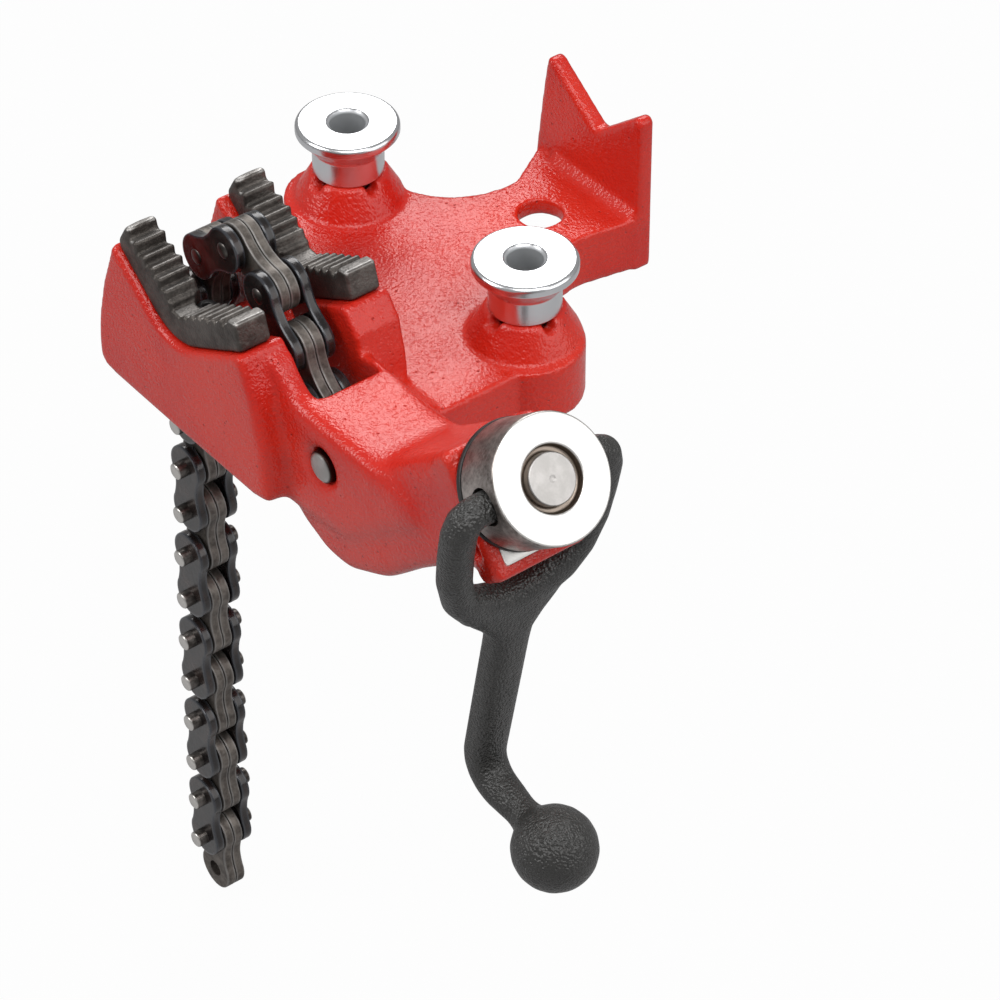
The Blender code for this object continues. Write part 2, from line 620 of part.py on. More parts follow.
# Underside of the housing, as shares of the way from the slot's end to the boss, and of its lowest height.
KEEL_SHARES = ((-0.12, 0.62), (0.14, 1.0), (0.42, 1.0), (0.84, 0.38), (1.2, -0.6))
keel_run = BLOCK_RIGHT_X + SPIGOT_LENGTH - SLOT_END_X + SLOT_CORNER
keel_outline = [(jaw_right_x + BRIDGE_DRAFT, WALL_FOOT_Z * 2)]
keel_outline += [(SLOT_END_X + keel_run * u, HOUSING_FOOT_Z * v) for u, v in KEEL_SHARES]
keel_outline += [screw_side(pad_distance - COLLAR_LENGTH / 2, -BOSS_BELOW),
                 screw_side(pad_distance - COLLAR_LENGTH / 2, BOSS_ABOVE),
                 (BLOCK_RIGHT_X, BLOCK_TOP_Z - WALL_FOOT_Z), (jaw_right_x + BRIDGE_DRAFT, BLOCK_TOP_Z - BRIDGE_DRAFT * 2)]
keel = prism("keel", keel_outline, across, (CHAIN_Y - HOUSING_HALF_WIDTH, CHAIN_Y + HOUSING_HALF_WIDTH))
bevel(keel, EDGE_BEVEL * 2.4, 3, 35)


def square_across_screw(half, below, above):
    return [(-half, -below), (half, -below), (half, above), (-half, above)]


collar = prism("collar", square_across_screw(HOUSING_HALF_WIDTH + SEAT_GAP, COLLAR_BELOW, BOSS_ABOVE + SEAT_GAP), along_screw,
               (pad_distance - COLLAR_LENGTH, pad_distance - PAD_PROUD))
bevel(collar, EDGE_BEVEL * 1.8, 3, 40)
root_outline = [screw_side(pad_distance - COLLAR_LENGTH * 2.2, -BOSS_BELOW / 2),
                screw_side(pad_distance - COLLAR_LENGTH * 2.2, -BOSS_BELOW + SEAT_GAP),
                screw_side(pad_distance - COLLAR_LENGTH * 1.5, -BOSS_BELOW - PAD_PROUD),
                screw_side(pad_distance - COLLAR_LENGTH, -COLLAR_BELOW + EDGE_BEVEL),
                screw_side(pad_distance - COLLAR_LENGTH / 2, -COLLAR_BELOW + EDGE_BEVEL),
                screw_side(pad_distance - COLLAR_LENGTH / 2, -BOSS_BELOW / 2)]
collar_root = prism("collar_root", root_outline, across,
                    (CHAIN_Y - HOUSING_HALF_WIDTH + EDGE_BEVEL, CHAIN_Y + HOUSING_HALF_WIDTH - EDGE_BEVEL))
boss_pad = prism("boss_pad", square_across_screw(PAD_HALF, PAD_BELOW, PAD_HALF), along_screw,
                 (pad_distance - COLLAR_LENGTH / 2, pad_distance))
bevel(boss_pad, EDGE_BEVEL, 2, 60)

# A wedge carries the housing's back down to the flange.
wedge_top_y = CHAIN_Y + BLOCK_BACK
wedge_outline = [(wedge_top_y - CUT_OVERRUN, 0), (CHAIN_Y + wall_half, 0), (CHAIN_Y + wall_half, FLANGE_HEIGHT),
                 (CHAIN_Y + (wall_half + BLOCK_BACK) / 2, (FLANGE_HEIGHT + BLOCK_TOP_Z) / 2 - WALL_FOOT_Z * 2),
                 (wedge_top_y, BLOCK_TOP_Z - EDGE_BEVEL), (wedge_top_y - CUT_OVERRUN, BLOCK_TOP_Z - EDGE_BEVEL)]
wedge = prism("housing_wedge", wedge_outline, sideways, (SLOT_END_X - SLOT_CORNER * 2, FLANGE_RIGHT_X - SMALL_BEVEL))

join(base_casting, far_wall, proud_wall, near_wall, bridge, block, keel, collar, collar_root, boss_pad, wedge)


# The slot and the cavity under the block, in which the chain turns from the jaws to the screw.


def unit(angle_deg):
    return Vector((math.cos(math.radians(angle_deg)), 0, math.sin(math.radians(angle_deg))))


crest_pin = Vector((CREST_X, CHAIN_Y, JAW_V_Z + CREST_RISE))
to_screw = [crest_pin]
for angle in ARCH_TO_SCREW_DEG:
    to_screw.append(to_screw[-1] + unit(angle) * CHAIN_PITCH)
# The last link reaches the eye, which lies on the screw's axis one pitch away.
last = to_screw[-1]
from_face = last - nut_face
off_axis = from_face.dot(screw_normal)
along_axis = from_face.dot(screw_direction)
eye_along = along_axis + math.sqrt(max(CHAIN_PITCH ** 2 - off_axis ** 2, 0))
eye_pin = nut_face + screw_direction * eye_along
to_screw.append(eye_pin)

to_tail = [crest_pin]
for angle in ARCH_TO_TAIL_DEG:
    to_tail.append(to_tail[-1] + unit(angle) * CHAIN_PITCH)
for _ in range(TAIL_LINKS):
    to_tail.append(to_tail[-1] + unit(270) * CHAIN_PITCH)

chain_pins = list(reversed(to_screw)) + to_tail[1:]

cavity_end = eye_along + EYE_NECK + THREAD_LEAD
cavity_roof_z = BLOCK_TOP_Z - CAVITY_ROOF
link_room = LINK_END_RADIUS + CUT_OVERRUN
slot_outline = [(jaw_left_x - JAW_LEFT_REACH, JAW_V_Z + JAW_LEFT_REACH),
                (jaw_left_x - JAW_LEFT_REACH, -JAW_LEFT_REACH),
                (BRIDGE_FOOT_X, -JAW_LEFT_REACH),
                (BRIDGE_FOOT_X, BRIDGE_KNEE_Z),
                (BRIDGE_LEFT_X - BRIDGE_DRAFT, BRIDGE_SHOULDER_Z),
                (BRIDGE_LEFT_X, bridge_top - BRIDGE_DRAFT / 2),
                (BRIDGE_RIGHT_X - BRIDGE_DRAFT / 2, bridge_top - BRIDGE_DRAFT / 2),
                (BRIDGE_RIGHT_X, bridge_top - BRIDGE_DRAFT),
                (BRIDGE_RIGHT_X, -JAW_LEFT_REACH),
                (GUIDE_PIN_X + GUIDE_PIN_RADIUS, -JAW_LEFT_REACH),
                screw_side(eye_along - EYE_NECK, -link_room),
                screw_side(cavity_end, -link_room),
                screw_side(cavity_end, link_room - CUT_OVERRUN / 2),
                (SLOT_END_X + SLOT_CORNER, cavity_roof_z),
                (SLOT_END_X, cavity_roof_z + SLOT_CORNER / 2),
                (SLOT_END_X, JAW_V_Z + JAW_LEFT_REACH)]
slot = prism("chain_slot", slot_outline, across, (CHAIN_Y - slot_half, CHAIN_Y + slot_half))
cut(base_casting, slot)

screw_bore = rod("screw_bore", nut_face + screw_direction * (cavity_end - CUT_OVERRUN),
                 boss_end + screw_direction * CUT_OVERRUN, SCREW_RADIUS + SEAT_GAP * 1.5)
guide_start = Vector((GUIDE_PIN_X, CHAIN_Y - BLOCK_FRONT - GUIDE_PIN_PROUD, GUIDE_PIN_Z))
guide_end = Vector((GUIDE_PIN_X, CHAIN_Y + BLOCK_BACK, GUIDE_PIN_Z))
guide_hole = rod("guide_hole", guide_start - Vector((0, CUT_OVERRUN, 0)), guide_end + Vector((0, SEAT_GAP, 0)),
                 GUIDE_PIN_RADIUS + SEAT_GAP, 24)
key_centre = screw_side(pad_distance - COLLAR_LENGTH / 2, -COLLAR_BELOW / 2)
key_slot = prism("key_slot",
                 [(key_centre[0] + screw_normal.x * a + screw_direction.x * b,
                   key_centre[1] + screw_normal.z * a + screw_direction.z * b)
                  for a, b in [(-KEY_SLOT_LENGTH / 2, -KEY_SLOT_WIDTH / 2), (KEY_SLOT_LENGTH / 2, -KEY_SLOT_WIDTH / 2),
                               (KEY_SLOT_LENGTH / 2, KEY_SLOT_WIDTH / 2), (-KEY_SLOT_LENGTH / 2, KEY_SLOT_WIDTH / 2)]],
                 across, (CHAIN_Y - HOUSING_HALF_WIDTH - CUT_OVERRUN, CHAIN_Y - HOUSING_HALF_WIDTH + KEY_SLOT_DEPTH))
cut(base_casting, screw_bore, guide_hole, key_slot)


def bolt_way(name, x, y, radius, top):
    return rod(name, Vector((x, y, -CUT_OVERRUN)), Vector((x, y, top)), radius, 24)


spigot_floor = BOSS_TOP_Z - SPIGOT_LENGTH - SEAT_GAP
for side_name, x in (("left", -spool_x), ("right", spool_x)):
    way = bolt_way(side_name + "_bolt_way", x, 0, SPOOL_BORE_RADIUS, BOSS_TOP_Z + CUT_OVERRUN)
    socket = rod(side_name + "_spigot_socket", Vector((x, 0, spigot_floor)), Vector((x, 0, BOSS_TOP_Z + CUT_OVERRUN)),
                 SPIGOT_RADIUS + SEAT_GAP, 24)
    cut(base_casting, way, socket)
    for k in range(2):
        across_x = BOSS_BASE_RADIUS if k == 0 else NOTCH_WIDTH / 2
        across_y = NOTCH_WIDTH / 2 if k == 0 else BOSS_BASE_RADIUS
        notch_outline = [(x - across_x, -across_y), (x + across_x, -across_y), (x + across_x, across_y), (x - across_x, across_y)]
        notch = prism(side_name + "_notch_" + str(k), notch_outline, upward,
                      (BOSS_TOP_Z - NOTCH_DEPTH, BOSS_TOP_Z + CUT_OVERRUN))
        cut(base_casting, notch)
cut(base_casting, bolt_way("back_bolt_way", 0, BACK_HOLE_Y, BACK_HOLE_RADIUS, FLANGE_HEIGHT + CUT_OVERRUN))
for way_name, sign in (("front_screw_way", -1), ("rear_screw_way", 1)):
    way_top = Vector((JAW_SCREW_X, CHAIN_Y + sign * jaw_screw_y, JAW_V_Z))
    way_floor = Vector((JAW_SCREW_X, way_top.y, jaw_screw_seat_z - JAW_SCREW_LENGTH - SEAT_GAP))
    cut(base_casting, rod(way_name, way_floor, way_top, JAW_SCREW_SHANK + SEAT_GAP * 1.3, PIN_STEPS))


# Spools


def make_spool(name, x):
    neck_foot = BOSS_TOP_Z + SEAT_GAP
    rim_top = SPOOL_TOP_Z - SPOOL_RIM_DROP
    rim_foot = rim_top - SPOOL_RIM_HEIGHT
    cone_foot = rim_foot - SPOOL_CONE_HEIGHT
    bore = SPOOL_BORE_RADIUS
    spigot_foot = BOSS_TOP_Z - SPIGOT_LENGTH
    profile = [(bore, spigot_foot), (SPIGOT_RADIUS, spigot_foot), (SPIGOT_RADIUS, neck_foot),
               (SPOOL_NECK_RADIUS, neck_foot), (SPOOL_NECK_RADIUS, cone_foot), (SPOOL_FLARE_RADIUS, cone_foot),
               (SPOOL_RIM_RADIUS, rim_foot), (SPOOL_RIM_RADIUS, rim_top), (SPOOL_TOP_RADIUS, SPOOL_TOP_Z),
               (bore + SPOOL_CHAMFER, SPOOL_TOP_Z), (bore, SPOOL_TOP_Z - SPOOL_CHAMFER)]
    return smooth(turned(name, profile, Matrix.Translation((x, 0, 0)), ROUND_STEPS, plated_steel))


left_spool = make_spool("left_spool", -spool_x)
right_spool = make_spool("right_spool", spool_x)


# Guide pin

guide_pin = rod("guide_pin", guide_start, guide_end, GUIDE_PIN_RADIUS, 24, GUIDE_PIN_CHAMFER, screw_steel)
smooth(guide_pin)


# Nut, washer and screw

axis_at_face = axis_place(nut_face, screw_direction)
nut_bore = SCREW_RADIUS + SEAT_GAP
nut_profile = [(nut_bore, -NUT_THICKNESS), (NUT_RADIUS - NUT_CHAMFER, -NUT_THICKNESS),
               (NUT_RADIUS, -NUT_THICKNESS + NUT_CHAMFER), (NUT_RADIUS, -NUT_CHAMFER), (NUT_RADIUS - NUT_CHAMFER, 0),
               (NUT_RECESS_RADIUS, 0), (NUT_RECESS_RADIUS, -NUT_RECESS_DEPTH), (nut_bore, -NUT_RECESS_DEPTH)]
screw_nut = turned("screw_nut", nut_profile, axis_at_face, 36, nut_plating)
pivot = nut_face - screw_direction * PIVOT_DEPTH
for hole_name, sign in (("near_side_hole", -1), ("far_side_hole", 1)):
    inner_end = pivot + Vector((0, sign * (PRONG_TIP - SEAT_GAP), 0))
    outer_end = pivot + Vector((0, sign * (NUT_RADIUS + CUT_OVERRUN), 0))
    cut(screw_nut, rod(hole_name, inner_end, outer_end, PRONG_RADIUS + PRONG_HOLE_CLEARANCE, 20))
smooth(screw_nut)
pivot_at(screw_nut, nut_face)

washer_top = -NUT_THICKNESS - SEAT_GAP
washer_profile = [(nut_bore, washer_top - WASHER_THICKNESS), (WASHER_RADIUS, washer_top - WASHER_THICKNESS),
                  (WASHER_RADIUS, washer_top), (nut_bore, washer_top)]
thrust_washer = smooth(turned("thrust_washer", washer_profile, axis_at_face, 36, dark_steel))

eye_point = Vector((0, 0, eye_along))
shoulder = eye_along + EYE_NECK
screw_profile = [(0, shoulder), (SCREW_RADIUS - SCREW_CHAMFER, shoulder), (SCREW_RADIUS, shoulder + SCREW_CHAMFER),
                 (SCREW_RADIUS, -SCREW_CHAMFER), (SCREW_RADIUS - SCREW_CHAMFER, 0), (0, 0)]
chain_screw = turned("chain_screw", screw_profile, axis_at_face, 24, screw_steel)


def lug_outline(radius, length):
    """A flat eye, seen from the front: round about the eye pin, then straight up the screw."""
    centre = (eye_pin.x, eye_pin.z)
    heading = SCREW_ANGLE_DEG
    points = arc(centre, radius, heading + 90, heading + 270, 12)
    tip = Vector((eye_pin.x, eye_pin.z)) + Vector((screw_direction.x, screw_direction.z)) * length
    normal = Vector((screw_normal.x, screw_normal.z)) * radius
    points.append((tip.x - normal.x, tip.y - normal.y))
    points.append((tip.x + normal.x, tip.y + normal.y))
    return points


eye_half = plate_gap / 2 + INNER_PLATE
eye_radius = SCREW_RADIUS - SCREW_CHAMFER
eye_plate = prism("eye_plate", lug_outline(eye_radius, EYE_NECK + SCREW_CHAMFER * 2), across,
                  (CHAIN_Y - eye_half, CHAIN_Y + eye_half))
join(chain_screw, eye_plate)


def pin_hole(name, centre, half):
    """A hole whose flats clear the pin, so that the pin can turn in it."""
    flat_radius = (LINK_PIN_RADIUS + RUNNING_GAP) / math.cos(math.pi / PIN_STEPS)
    reach = Vector((0, half, 0))
    return rod(name, centre - reach, centre + reach, flat_radius, PIN_STEPS)


cut(chain_screw, pin_hole("eye_hole", eye_pin, eye_half + CUT_OVERRUN))
smooth(chain_screw)
pivot_at(chain_screw, nut_face)


# Crank


hang = math.radians(CRANK_HANG_DEG)
crank_down = -screw_direction * math.cos(hang) - screw_normal * math.sin(hang)
crank_out = Vector((-crank_down.z, 0, crank_down.x))


def crank_point(side, down, out):
    """A point of the crank: side along the pivot (minus is the front), down the stem, out towards the knob."""
    return pivot + Vector((0, side + FORK_SHIFT, 0)) + crank_down * down + crank_out * out


def sweep(name, stations, sides, material=None):
    """Skin a tube over stations of (centre, right, up, half width, half height, squareness)."""
    bm = bmesh.new()
    rings = []
    for centre, right, up, half_width, half_height, square in stations:
        ring = []
        for i in range(sides):
            angle = 2 * math.pi * (i + 0.5) / sides
            c, s = math.cos(angle), math.sin(angle)
            power = 1 - square / 2
            u = math.copysign(abs(c) ** power, c) * half_width
            v = math.copysign(abs(s) ** power, s) * half_height
            ring.append(bm.verts.new(centre + right * u + up * v))
        rings.append(ring)
    for first, second in zip(rings, rings[1:]):
        for i in range(sides):
            j = (i + 1) % sides
            bm.faces.new((first[i], first[j], second[j], second[i]))
    bm.faces.new(list(reversed(rings[0])))
    bm.faces.new(rings[-1])
    return object_from(bm, name, material)


def path_stations(points, plane_normal, size):
    """Frames along a route that lies in one plane. size(i) gives half width, half height and squareness."""
    stations = []
    count = len(points)
    for i, point in enumerate(points):
        before = points[max(i - 1, 0)]
        after = points[min(i + 1, count - 1)]
        heading = (after - before).normalized()
        right = heading.cross(plane_normal).normalized()
        half_width, half_height, square = size(i)
        stations.append((point, right, plane_normal, half_width, half_height, square))
    return stations


# Half of the fork's centre line, from a prong's tip round to the web, as shares of half width and drop.
FORK_SHARES = ((0.62, 0.0), (0.86, 0.0), (0.95, 0.035), (1.0, 0.13), (0.99, 0.33), (0.95, 0.56), (0.83, 0.77),
               (0.6, 0.9), (0.3, 0.97))
half_fork = [(PRONG_TIP + abs(FORK_SHIFT) + SEAT_GAP, 0.0)] + [(u * FORK_HALF_WIDTH, v * FORK_DROP) for u, v in FORK_SHARES]
fork_route = half_fork + [(0, FORK_DROP)] + [(-u, v) for u, v in reversed(half_fork)]
fork_points = [crank_point(-u, v, 0) for u, v in fork_route]


prong_points = sum(1 for u, v in half_fork if v == 0)


def fork_size(i):
    from_end = min(i, len(fork_points) - 1 - i)
    if from_end < prong_points:
        return PRONG_RADIUS, PRONG_RADIUS, 0.0
    if from_end >= len(FORK_SHARES) - 1:
        return ARM_RADIUS * 1.25, ARM_RADIUS, 0.35
    return ARM_RADIUS, ARM_RADIUS, 0.2


crank_handle = sweep("crank_handle", path_stations(fork_points, crank_out, fork_size), 12, crank_coating)

# The web fills in between the arms and narrows into the stem: stations of (down, half width) as shares.
WEB_SHARES = ((0.96, 0.78), (1.06, 0.66), (1.17, 0.46), (1.28, 0.3))
web_stations = []
for down_share, width_share in WEB_SHARES:
    centre = crank_point(0, FORK_DROP * down_share, 0)
    web_stations.append((centre, Vector((0, 1, 0)), crank_out, FORK_HALF_WIDTH * width_share,
                         STEM_THICKNESS / 2, 0.5))
stem_half = STEM_WIDTH / 2
web_stations.append((crank_point(0, FORK_DROP * 1.4, 0), Vector((0, 1, 0)), crank_out, stem_half, STEM_THICKNESS / 2, 0.5))
elbow_start = STEM_LENGTH - ELBOW_RADIUS
web_stations.append((crank_point(0, elbow_start, 0), Vector((0, 1, 0)), crank_out, stem_half * 0.93,
                     STEM_THICKNESS / 2, 0.5))
ELBOW_STEPS = 4
for i in range(1, ELBOW_STEPS + 1):
    turn = math.pi / 2 * i / ELBOW_STEPS
    down = elbow_start + ELBOW_RADIUS * math.sin(turn)
    out = ELBOW_RADIUS * (1 - math.cos(turn))
    up = crank_out * math.cos(turn) - crank_down * math.sin(turn)
    web_stations.append((crank_point(0, down, out), Vector((0, 1, 0)), up, stem_half * (0.93 - 0.07 * i / ELBOW_STEPS),
                         STEM_THICKNESS / 2, 0.5 - 0.4 * i / ELBOW_STEPS))
neck_half = STEM_THICKNESS / 2
for share, grow in ((0.55, 1.0), (0.75, 1.25), (0.9, 1.7)):
    web_stations.append((crank_point(0, STEM_LENGTH, KNOB_OFFSET * share), Vector((0, 1, 0)), -crank_down,
                         neck_half * grow, neck_half * grow, 0))
stem = sweep("stem", web_stations, 12)
knob_profile = [(0, -KNOB_RADIUS)] + [(KNOB_RADIUS * math.cos(math.radians(a)), KNOB_RADIUS * math.sin(math.radians(a)))
                                      for a in range(-80, 81, 20)] + [(0, KNOB_RADIUS)]
knob = turned("knob", knob_profile, axis_place(crank_point(0, STEM_LENGTH, KNOB_OFFSET), crank_out), 20)
join(crank_handle, stem, knob)
smooth(crank_handle, 50)
pivot_at(crank_handle, pivot)


# Chain


def link_outline(start, end):
    """A figure-of-eight plate in front view: two round ends and a narrower waist."""
    heading = math.degrees(math.atan2(end.z - start.z, end.x - start.x))
    a, b = (start.x, start.z), (end.x, end.z)
    middle = Vector(((start.x + end.x) / 2, (start.z + end.z) / 2))
    side = Vector((-math.sin(math.radians(heading)), math.cos(math.radians(heading)))) * LINK_WAIST
    points = arc(a, LINK_END_RADIUS, heading + 60, heading + 300, 8)
    points.append((middle.x - side.x, middle.y - side.y))
    points += arc(b, LINK_END_RADIUS, heading - 120, heading + 120, 8)
    points.append((middle.x + side.x, middle.y + side.y))
    return points


def plate(name, start, end, y_range, material=None):
    return prism(name, link_outline(start, end), across, (start.y + y_range[0], start.y + y_range[1]), material)


def make_inner_link(name, start, end):
    """Two plates side by side, with holes that turn on the neighbours' pins."""
    near = plate(name, start, end, (-plate_gap / 2 - INNER_PLATE, -plate_gap / 2), link_steel)
    far = plate(name + "_far", start, end, (plate_gap / 2, plate_gap / 2 + INNER_PLATE))
    middle = (start + end) / 2
    dowel_reach = Vector((0, INNER_PLATE / 2, 0))
    dowel = rod(name + "_dowel", middle - dowel_reach, middle + dowel_reach, LINK_PIN_RADIUS, PIN_STEPS)
    join(near, far, dowel)
    for k, centre in enumerate((start, end)):
        cut(near, pin_hole(name + "_hole_" + str(k), centre, chain_half))
    return near


def make_outer_link(name, start, end, pin_halves):
    """Two plates riveted on two pins. pin_halves gives how far each pin reaches from the chain's plane."""
    near = plate(name, start, end, (-chain_half, -outer_plate_start), black_plate)
    join(near, plate(name + "_far", start, end, (outer_plate_start, chain_half)))
    for k, (centre, half) in enumerate(zip((start, end), pin_halves)):
        reach = Vector((0, half, 0))
        join(near, rod(name + "_pin_" + str(k), centre - reach, centre + reach, LINK_PIN_RADIUS, PIN_STEPS, SMALL_BEVEL))
    return near


rivet_half = chain_half + RIVET_PROUD
link_count = len(chain_pins) - 1
first_hook = link_count - TAIL_LINKS - 1
for i in range(link_count):
    drift = Vector((0, (LINK_PLAY - SEAT_GAP) * DRIFT_SHARES[min(i, len(DRIFT_SHARES) - 1)], 0))
    start, end = chain_pins[i] + drift, chain_pins[i + 1] + drift
    number = f"{i // 2 + 1:02d}"
    if i % 2 == 0:
        start_half = HOOK_PIN_HALF if i > first_hook else rivet_half
        end_half = HOOK_PIN_HALF if i >= first_hook else rivet_half
        link = make_outer_link("outer_link_" + number, start, end, (start_half, end_half))
    else:
        link = make_inner_link("inner_link_" + number, start, end)
    pivot_at(link, start)

print("chain pins (mm):", [(round(p.x / MM, 2), round(p.z / MM, 2)) for p in chain_pins])
print("eye along the screw from the nut's face (mm):", round(eye_along / MM, 2))
print("crank pivot (mm):", [round(v / MM, 2) for v in pivot])
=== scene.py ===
# %% [markdown]
# Chain pipe vise, dressed for its portrait
#
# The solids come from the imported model, in metres: +X is across the vise towards the crank, +Y runs
# along the pipe, +Z is up. Each visible piece is made again here with the detail that the solids leave
# out, in the same place, and rides on the same body, so that the joints still move it.

# %% Frame
import json
import math

import bmesh
import bpy
import numpy as np
from mathutils import Matrix, Vector
from mathutils.bvhtree import BVHTree


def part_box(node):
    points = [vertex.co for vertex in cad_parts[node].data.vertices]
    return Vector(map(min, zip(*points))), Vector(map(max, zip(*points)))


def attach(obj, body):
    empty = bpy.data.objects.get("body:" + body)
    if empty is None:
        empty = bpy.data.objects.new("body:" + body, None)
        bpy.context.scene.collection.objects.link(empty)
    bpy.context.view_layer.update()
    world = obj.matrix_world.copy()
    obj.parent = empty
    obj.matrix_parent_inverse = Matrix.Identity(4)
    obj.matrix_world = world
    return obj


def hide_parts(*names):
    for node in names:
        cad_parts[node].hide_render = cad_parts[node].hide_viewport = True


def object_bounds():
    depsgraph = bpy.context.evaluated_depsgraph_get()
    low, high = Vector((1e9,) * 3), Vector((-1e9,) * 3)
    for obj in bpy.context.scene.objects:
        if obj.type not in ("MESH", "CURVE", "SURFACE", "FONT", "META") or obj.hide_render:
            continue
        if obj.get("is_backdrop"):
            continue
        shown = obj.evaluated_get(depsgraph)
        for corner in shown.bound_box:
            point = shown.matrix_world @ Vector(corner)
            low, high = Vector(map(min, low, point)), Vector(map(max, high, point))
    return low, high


MM = 0.001
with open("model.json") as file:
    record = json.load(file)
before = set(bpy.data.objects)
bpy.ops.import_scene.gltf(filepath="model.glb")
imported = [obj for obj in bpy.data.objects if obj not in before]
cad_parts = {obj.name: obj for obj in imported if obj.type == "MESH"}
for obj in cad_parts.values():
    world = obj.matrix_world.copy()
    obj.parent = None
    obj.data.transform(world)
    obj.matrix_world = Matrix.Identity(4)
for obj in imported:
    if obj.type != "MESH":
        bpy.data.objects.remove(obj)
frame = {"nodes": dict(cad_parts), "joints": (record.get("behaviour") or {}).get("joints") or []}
nodes = frame["nodes"]
cad_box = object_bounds()
print("nodes:", len(nodes))

# %% [markdown]
# Places that every piece shares
#
# The screw leans up towards the crank. Its face, its direction and the chain's pins are read from the
# model's joints, so nothing here has to be fitted by eye.

# %% Shared places
joints = {joint["name"]: joint for joint in frame["joints"]}
nut_face = Vector(joints["nut_spin"]["pos_m"])
screw_way = Vector(joints["nut_spin"]["axis"]).normalized()
screw_up = Vector((-screw_way.z, 0, screw_way.x))
crank_pivot = Vector(joints["crank_swing"]["pos_m"])
chain_pins = [Vector(joints[name]["pos_m"]) for name in sorted(joints) if name.startswith("chain_pin")]
CHAIN_PITCH = (chain_pins[1] - chain_pins[0]).length
chain_pins.append(chain_pins[-1] - Vector((0, 0, CHAIN_PITCH)))
ALONG_PIPE = Vector((0, 1, 0))
# The machined pad behind the nut, along the screw from the nut's face, to either side and below the axis.
PAD_FROM_FACE = -22.3 * MM
PAD_HALF = 14.4 * MM
PAD_BELOW = 21.9 * MM
link_names = []
for i in range(len(chain_pins) - 1):
    link_names.append(("outer_link_" if i % 2 == 0 else "inner_link_") + f"{i // 2 + 1:02d}")
print("pitch (mm):", round(CHAIN_PITCH / MM, 2), "links:", len(link_names))

# %% [markdown]
# Shader maths as plain sums
#
# A finish is easier to read as a sum than as a list of nodes. A Signal wraps one socket, and +, - and *
# on it add Math nodes. A Finish is a material with one method that adds any other node.


# %% Signal and Finish
class Signal:
    """The output of a shader node, with sums on it."""

    def __init__(self, finish, socket):
        self.finish = finish
        self.socket = socket

    def __add__(self, other):
        return self.finish.maths("ADD", self, other)

    def __sub__(self, other):
        return self.finish.maths("SUBTRACT", self, other)

    def __mul__(self, other):
        return self.finish.maths("MULTIPLY", self, other)

    def __rsub__(self, other):
        return self.finish.maths("SUBTRACT", other, self)

    __radd__ = __add__
    __rmul__ = __mul__

    def within(self, low, high):
        """0 below low, 1 above high, smooth in between."""
        return self.finish.add("ShaderNodeMapRange", {"interpolation_type": "SMOOTHSTEP"},
                               {"Value": self, "From Min": low, "From Max": high})


class Finish:
    """A procedural material, named for what it covers."""

    def __init__(self, name):
        self.material = bpy.data.materials.new(name)
        self.material.use_nodes = True
        self.tree = self.material.node_tree
        self.shader = self.tree.nodes["Principled BSDF"]
        self.place = self.add("ShaderNodeTexCoord", {}, {}, "Object")

    def add(self, kind, settings, values, output=0):
        node = self.tree.nodes.new(kind)
        for name, value in settings.items():
            setattr(node, name, value)
        for name, value in values.items():
            self.feed(node.inputs[name], value)
        return Signal(self, node.outputs[output])

    def feed(self, socket, value):
        if isinstance(value, Signal):
            self.tree.links.new(value.socket, socket)
        elif isinstance(value, tuple) and socket.type == "RGBA" and len(value) == 3:
            socket.default_value = (*value, 1)
        else:
            socket.default_value = value

    def maths(self, operation, first, second):
        return self.add("ShaderNodeMath", {"operation": operation}, {0: first, 1: second})

    def noise(self, scale, detail=4.0, roughness=0.55, place=None):
        return self.add("ShaderNodeTexNoise", {}, {"Vector": place or self.place, "Scale": scale,
                                                   "Detail": detail, "Roughness": roughness})

    def vectors(self, operation, first, second, output=0):
        return self.add("ShaderNodeVectorMath", {"operation": operation}, {0: first, 1: second}, output)

    def blend(self, mask, low, high):
        return self.add("ShaderNodeMix", {"data_type": "RGBA"}, {0: mask, 6: low, 7: high}, 2)

    def attribute(self, name):
        return self.add("ShaderNodeAttribute", {"attribute_name": name}, {}, "Fac")

    def bump(self, height, distance):
        values = {"Height": height, "Distance": distance, "Strength": 1.0}
        self.set(Normal=self.add("ShaderNodeBump", {}, values))

    def set(self, **values):
        for name, value in values.items():
            self.feed(self.shader.inputs[name.replace("_", " ")], value)


# %% [markdown]
# Red enamel on a sand casting
#
# The body is grey iron from a sand mould under thick red enamel. Four things show: the broad waves of
# the casting, the orange peel of the paint, its fine grit, and small pits where the sand let go. All are
# noise at different sizes, added into one height. The pad behind the nut was machined after painting, so
# its metal is bare. Its edges are straight lines, measured along and across the screw.

# %% Red enamel
enamel = Finish("red_enamel")
waves = enamel.noise(95, 3.0)
peel = enamel.noise(760, 1.0, 0.5)
grit = enamel.noise(1500, 0.0)
patches = enamel.noise(42, 2.0).within(0.42, 0.62)
pit_cells = enamel.add("ShaderNodeTexVoronoi", {}, {"Vector": enamel.place, "Scale": 330.0}, "Distance")
pits = (1 - pit_cells.within(0.05, 0.2)) * enamel.noise(150, 2.0).within(0.54, 0.62)

from_nut = enamel.vectors("SUBTRACT", enamel.place, tuple(nut_face))
FEATHER = 0.2 * MM


def measured(direction):
    """How far a point of the casting is from the middle of the nut's face, along a direction."""
    return enamel.vectors("DOT_PRODUCT", from_nut, tuple(direction), "Value")


